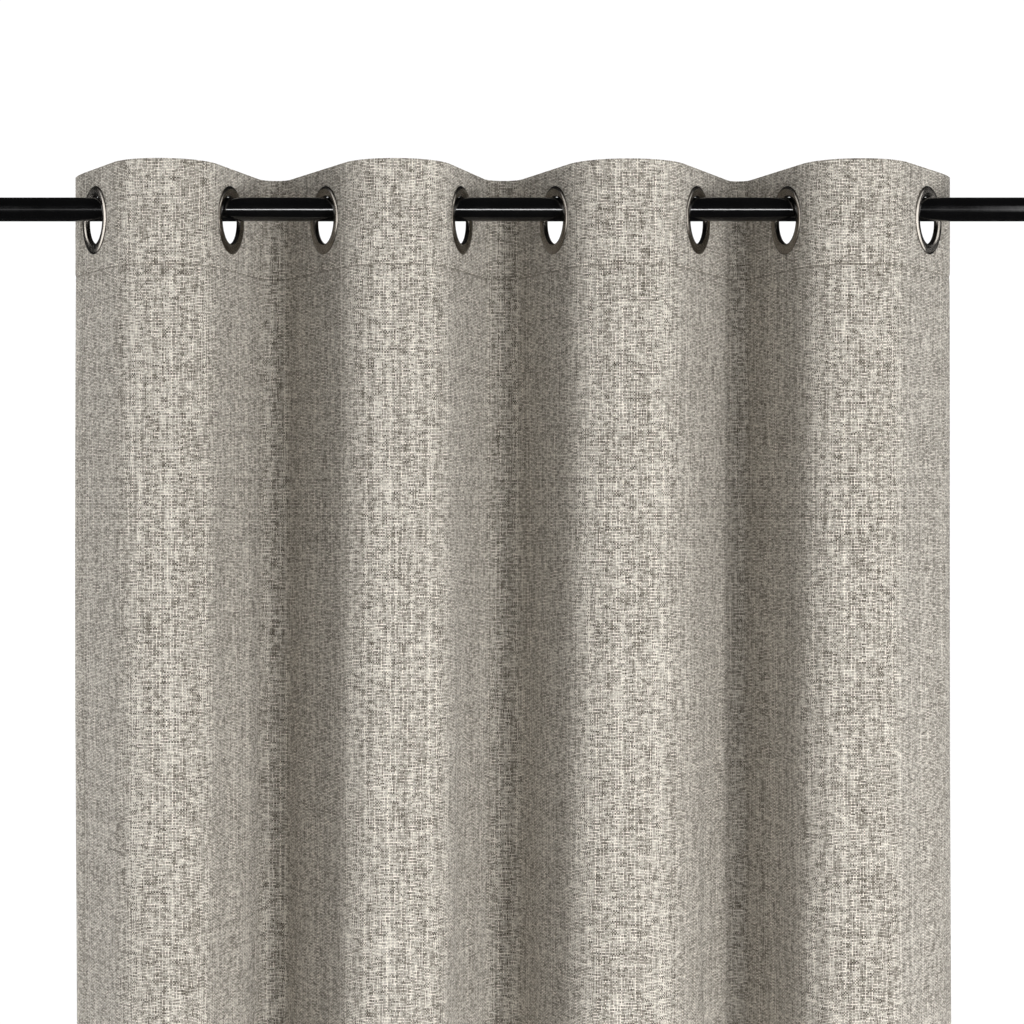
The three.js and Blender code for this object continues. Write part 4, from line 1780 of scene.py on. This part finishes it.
    def _wall_screw(self, end: str) -> None:
        """Makes one wall screw: a pan head with a cross recess, and a threaded shank.

        Args:
            end: Which end of the plate it is at, upper or lower.
        """
        node = f"wall_screw_{self.side.word}_{end}"
        low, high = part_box(node)
        middle = centre_of(node)
        head, shank, head_height = (high.z - low.z) / 2, self.screw_shank, self.screw_head_height
        length = high.y - low.y
        corners = [
            (0.0, 0.0, 0.0),
            (head * 0.62, 0.12 * MM, 1.0 * MM),
            (head, head_height * 0.55, 1.0 * MM),
            (head, head_height, 0.2 * MM),
            (shank - 0.35 * MM, head_height, 0.3 * MM),
            (shank - 0.35 * MM, length - 6 * MM, 0.5 * MM),
            (0.0, length, 0.0),
        ]
        zinc = self.finishes.zinc
        face = Vector((middle.x, low.y, middle.z))
        frame = axis_frame(face, Vector((0, 1, 0)))
        body = new_piece("screw_body", turned(rounded(corners, False), frame, False, 48), zinc)
        for turn in (0.0, math.pi / 2):
            self._cut_recess(body, face, turn + 0.5, head * 1.15)
        reach = (low.y + head_height + 7 * MM, high.y - 5 * MM)
        line = helix(middle, "Y", shank - 0.3 * MM, 15, 20, reach)
        thread = self.tree.along([line], 0.55 * MM, 1.0 * MM, 0.3 * MM, zinc)
        mesh = joined([body.data, thread])
        bpy.data.objects.remove(body)
        piece = new_piece(f"cross_head_screw_{self.side.word}_{end}", smooth_shaded(mesh, 35.0), zinc)
        stand_in(piece, node, self.body)

    def build(self, nodes: dict[str, bpy.types.Object]) -> None:
        """Makes the bracket's pieces and says what each rides on.

        Args:
            nodes: The CAD nodes by name.
        """
        word = self.side.word
        for node, name, width in (
            (f"bracket_plate_{word}", f"wall_plate_{word}", 0.9 * MM),
            (f"bracket_cradle_{word}", f"rod_cradle_{word}", 0.7 * MM),
        ):
            self._pressed(nodes[node], node, name, width)
        self._arm()
        self._thumb_screw()
        for end in ("upper", "lower"):
            self._wall_screw(end)
        insert = nodes[f"finial_insert_{word}"]
        insert.data.materials.clear()
        insert.data.materials.append(self.finishes.plastic)


# ---- Studio ------------------------------------------------------------------------------------


@dataclass(frozen=True)
class Softbox:
    """One area light: where it hangs, its width, height and power, and what it reaches."""

    name: str
    place: Vector
    width: float
    height: float
    watts: float
    mirrored: bool = True
    lights_cloth: bool = True


@dataclass
class Studio:
    """A pale floor, a white surround, soft lights and the camera."""

    panel_middle: float
    rod_y: float
    floor_z: float
    camera_distance: float = 1.95
    camera_drop: float = 0.242
    lens: float = 85.7
    seen_white: float = 1.05
    even_light: float = 0.39
    side_panels: float = 4.2

    def build(self) -> None:
        """Sets up the studio."""
        self._floor()
        self._surround()
        self._camera()
        for box in self._lights():
            self._softbox(box)

    def _floor(self) -> None:
        """Lays the floor."""
        half = 6.0
        corners = [(-half, -half), (half, -half), (half, half), (-half, half)]
        places = [(x + self.panel_middle, y, self.floor_z) for x, y in corners]
        mesh = bpy.data.meshes.new("floor")
        mesh.from_pydata(places, [], [(0, 1, 2, 3)])
        material, sketch, shader = new_material("pale_floor")
        place = sketch.add("ShaderNodeTexCoord").outputs["Object"]
        stops = ((0.3, (0.78, 0.78, 0.77)), (0.7, (0.82, 0.82, 0.81)))
        sketch.feed(shader.inputs["Base Color"], sketch.ramp(sketch.noise(place, 3.0, 3.0), stops))
        shader.inputs["Roughness"].default_value = 0.6
        floor = new_piece("studio_floor", mesh, material)
        floor.visible_glossy = False

    def _surround(self) -> None:
        """White to the camera, a softer even light on cloth, and bright side panels in gloss."""
        world = bpy.data.worlds.new("studio")
        bpy.context.scene.world = world
        world.use_nodes = True
        sketch = NodeSketch(world.node_tree)
        white = (1, 1, 1, 1)
        seen = world.node_tree.nodes["Background"]
        felt = sketch.add("ShaderNodeBackground")
        mirrored = sketch.add("ShaderNodeBackground")
        for background in (seen, felt, mirrored):
            background.inputs["Color"].default_value = white
        seen.inputs["Strength"].default_value = self.seen_white
        felt.inputs["Strength"].default_value = self.even_light
        sideways, depth, upward = sketch.split(sketch.add("ShaderNodeTexCoord").outputs["Generated"])
        right = sketch.spread(sideways, 0.26, 0.36, 0.0, self.side_panels)
        left = sketch.spread(sideways, -0.26, -0.36, 0.0, self.side_panels)
        beside = sketch.spread(depth, 0.42, 0.3, 0.0, 1.0)
        level = sketch.spread(sketch.math("ABSOLUTE", upward), 0.5, 0.3, 0.0, 1.0)
        window = sketch.math("MULTIPLY", beside, level)
        panels = sketch.math("MULTIPLY", sketch.math("ADD", left, right), window)
        sketch.feed(mirrored.inputs["Strength"], sketch.math("ADD", panels, 0.03))
        path = sketch.add("ShaderNodeLightPath")
        unseen = sketch.add("ShaderNodeMixShader")
        chosen = sketch.add("ShaderNodeMixShader")
        for mixer, factor, otherwise, then in (
            (unseen, "Is Glossy Ray", felt, mirrored),
            (chosen, "Is Camera Ray", unseen, seen),
        ):
            sketch.feed(mixer.inputs[0], path.outputs[factor])
            sketch.feed(mixer.inputs[1], otherwise.outputs[0])
            sketch.feed(mixer.inputs[2], then.outputs[0])
        sketch.feed(world.node_tree.nodes["World Output"].inputs["Surface"], chosen.outputs[0])

    def _lights(self) -> list[Softbox]:
        """The lights around the panel.

        Returns:
            A key from the right front, a broad fill, one light on the left edges and one on the back,
            and two that only the rod and the rings mirror.
        """
        x, y = self.panel_middle, self.rod_y
        return [
            Softbox("key", Vector((x + 1.58, y - 2.55, -1.05)), 0.62, 1.6, 70.0, mirrored=False),
            Softbox("fill", Vector((x - 0.3, y - 3.2, -0.5)), 2.6, 2.2, 9.0, mirrored=False),
            Softbox("edge", Vector((x - 2.6, y - 0.4, -0.5)), 1.0, 2.0, 24.0, mirrored=False),
            Softbox("behind", Vector((x - 1.3, y + 2.7, -0.5)), 2.0, 2.0, 42.0, mirrored=False),
            Softbox("strip", Vector((x, y - 2.4, -0.31)), 1.16, 0.24, 17.0, lights_cloth=False),
            Softbox("rail", Vector((x, y - 2.5, -0.31)), 4.4, 0.5, 4.0, lights_cloth=False),
        ]

    def _softbox(self, box: Softbox) -> None:
        """Hangs one light, aimed at the upper part of the panel.

        Args:
            box: The light.
        """
        light = bpy.data.lights.new(box.name, "AREA")
        light.shape = "RECTANGLE"
        light.size, light.size_y = box.width, box.height
        light.energy = box.watts
        lamp = bpy.data.objects.new(box.name, light)
        bpy.context.scene.collection.objects.link(lamp)
        target = Vector((self.panel_middle, self.rod_y, -0.3))
        aim = (target - box.place).to_track_quat("-Z", "Y")
        lamp.matrix_world = Matrix.Translation(box.place) @ aim.to_matrix().to_4x4()
        lamp.visible_glossy = box.mirrored
        lamp.visible_diffuse = box.lights_cloth

    def _camera(self) -> None:
        """Stands the camera below the rod's height, looking straight at the wall."""
        data = bpy.data.cameras.new("camera")
        data.lens = self.lens
        data.sensor_width = 36.0
        camera = bpy.data.objects.new("camera", data)
        camera.location = (self.panel_middle, self.rod_y - self.camera_distance, -self.camera_drop)
        camera.rotation_euler = (math.pi / 2, 0, 0)
        bpy.context.scene.collection.objects.link(camera)
        bpy.context.scene.camera = camera


def main() -> None:
    """Loads the frame, builds the curtain around it and sets up the studio."""
    logging.basicConfig(level=logging.INFO, format="%(name)s: %(message)s")
    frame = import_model()
    rod_y = centre_of("outer_tube").y
    panel_middle = (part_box("grommet_front_1")[0].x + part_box("grommet_front_8")[1].x) / 2
    floor_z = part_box("drop_1")[0].z - 12 * MM
    Studio(panel_middle, rod_y, floor_z).build()
    finishes = Finishes()
    tree = RepeatTree()
    Rod(finishes).build()
    for side in Side:
        Bracket(finishes, tree, side).build(frame["nodes"])
    CurtainPanel(finishes, tree).build()
    bpy.context.scene.view_settings.view_transform = "Standard"


if __name__ == "__main__":
    main()
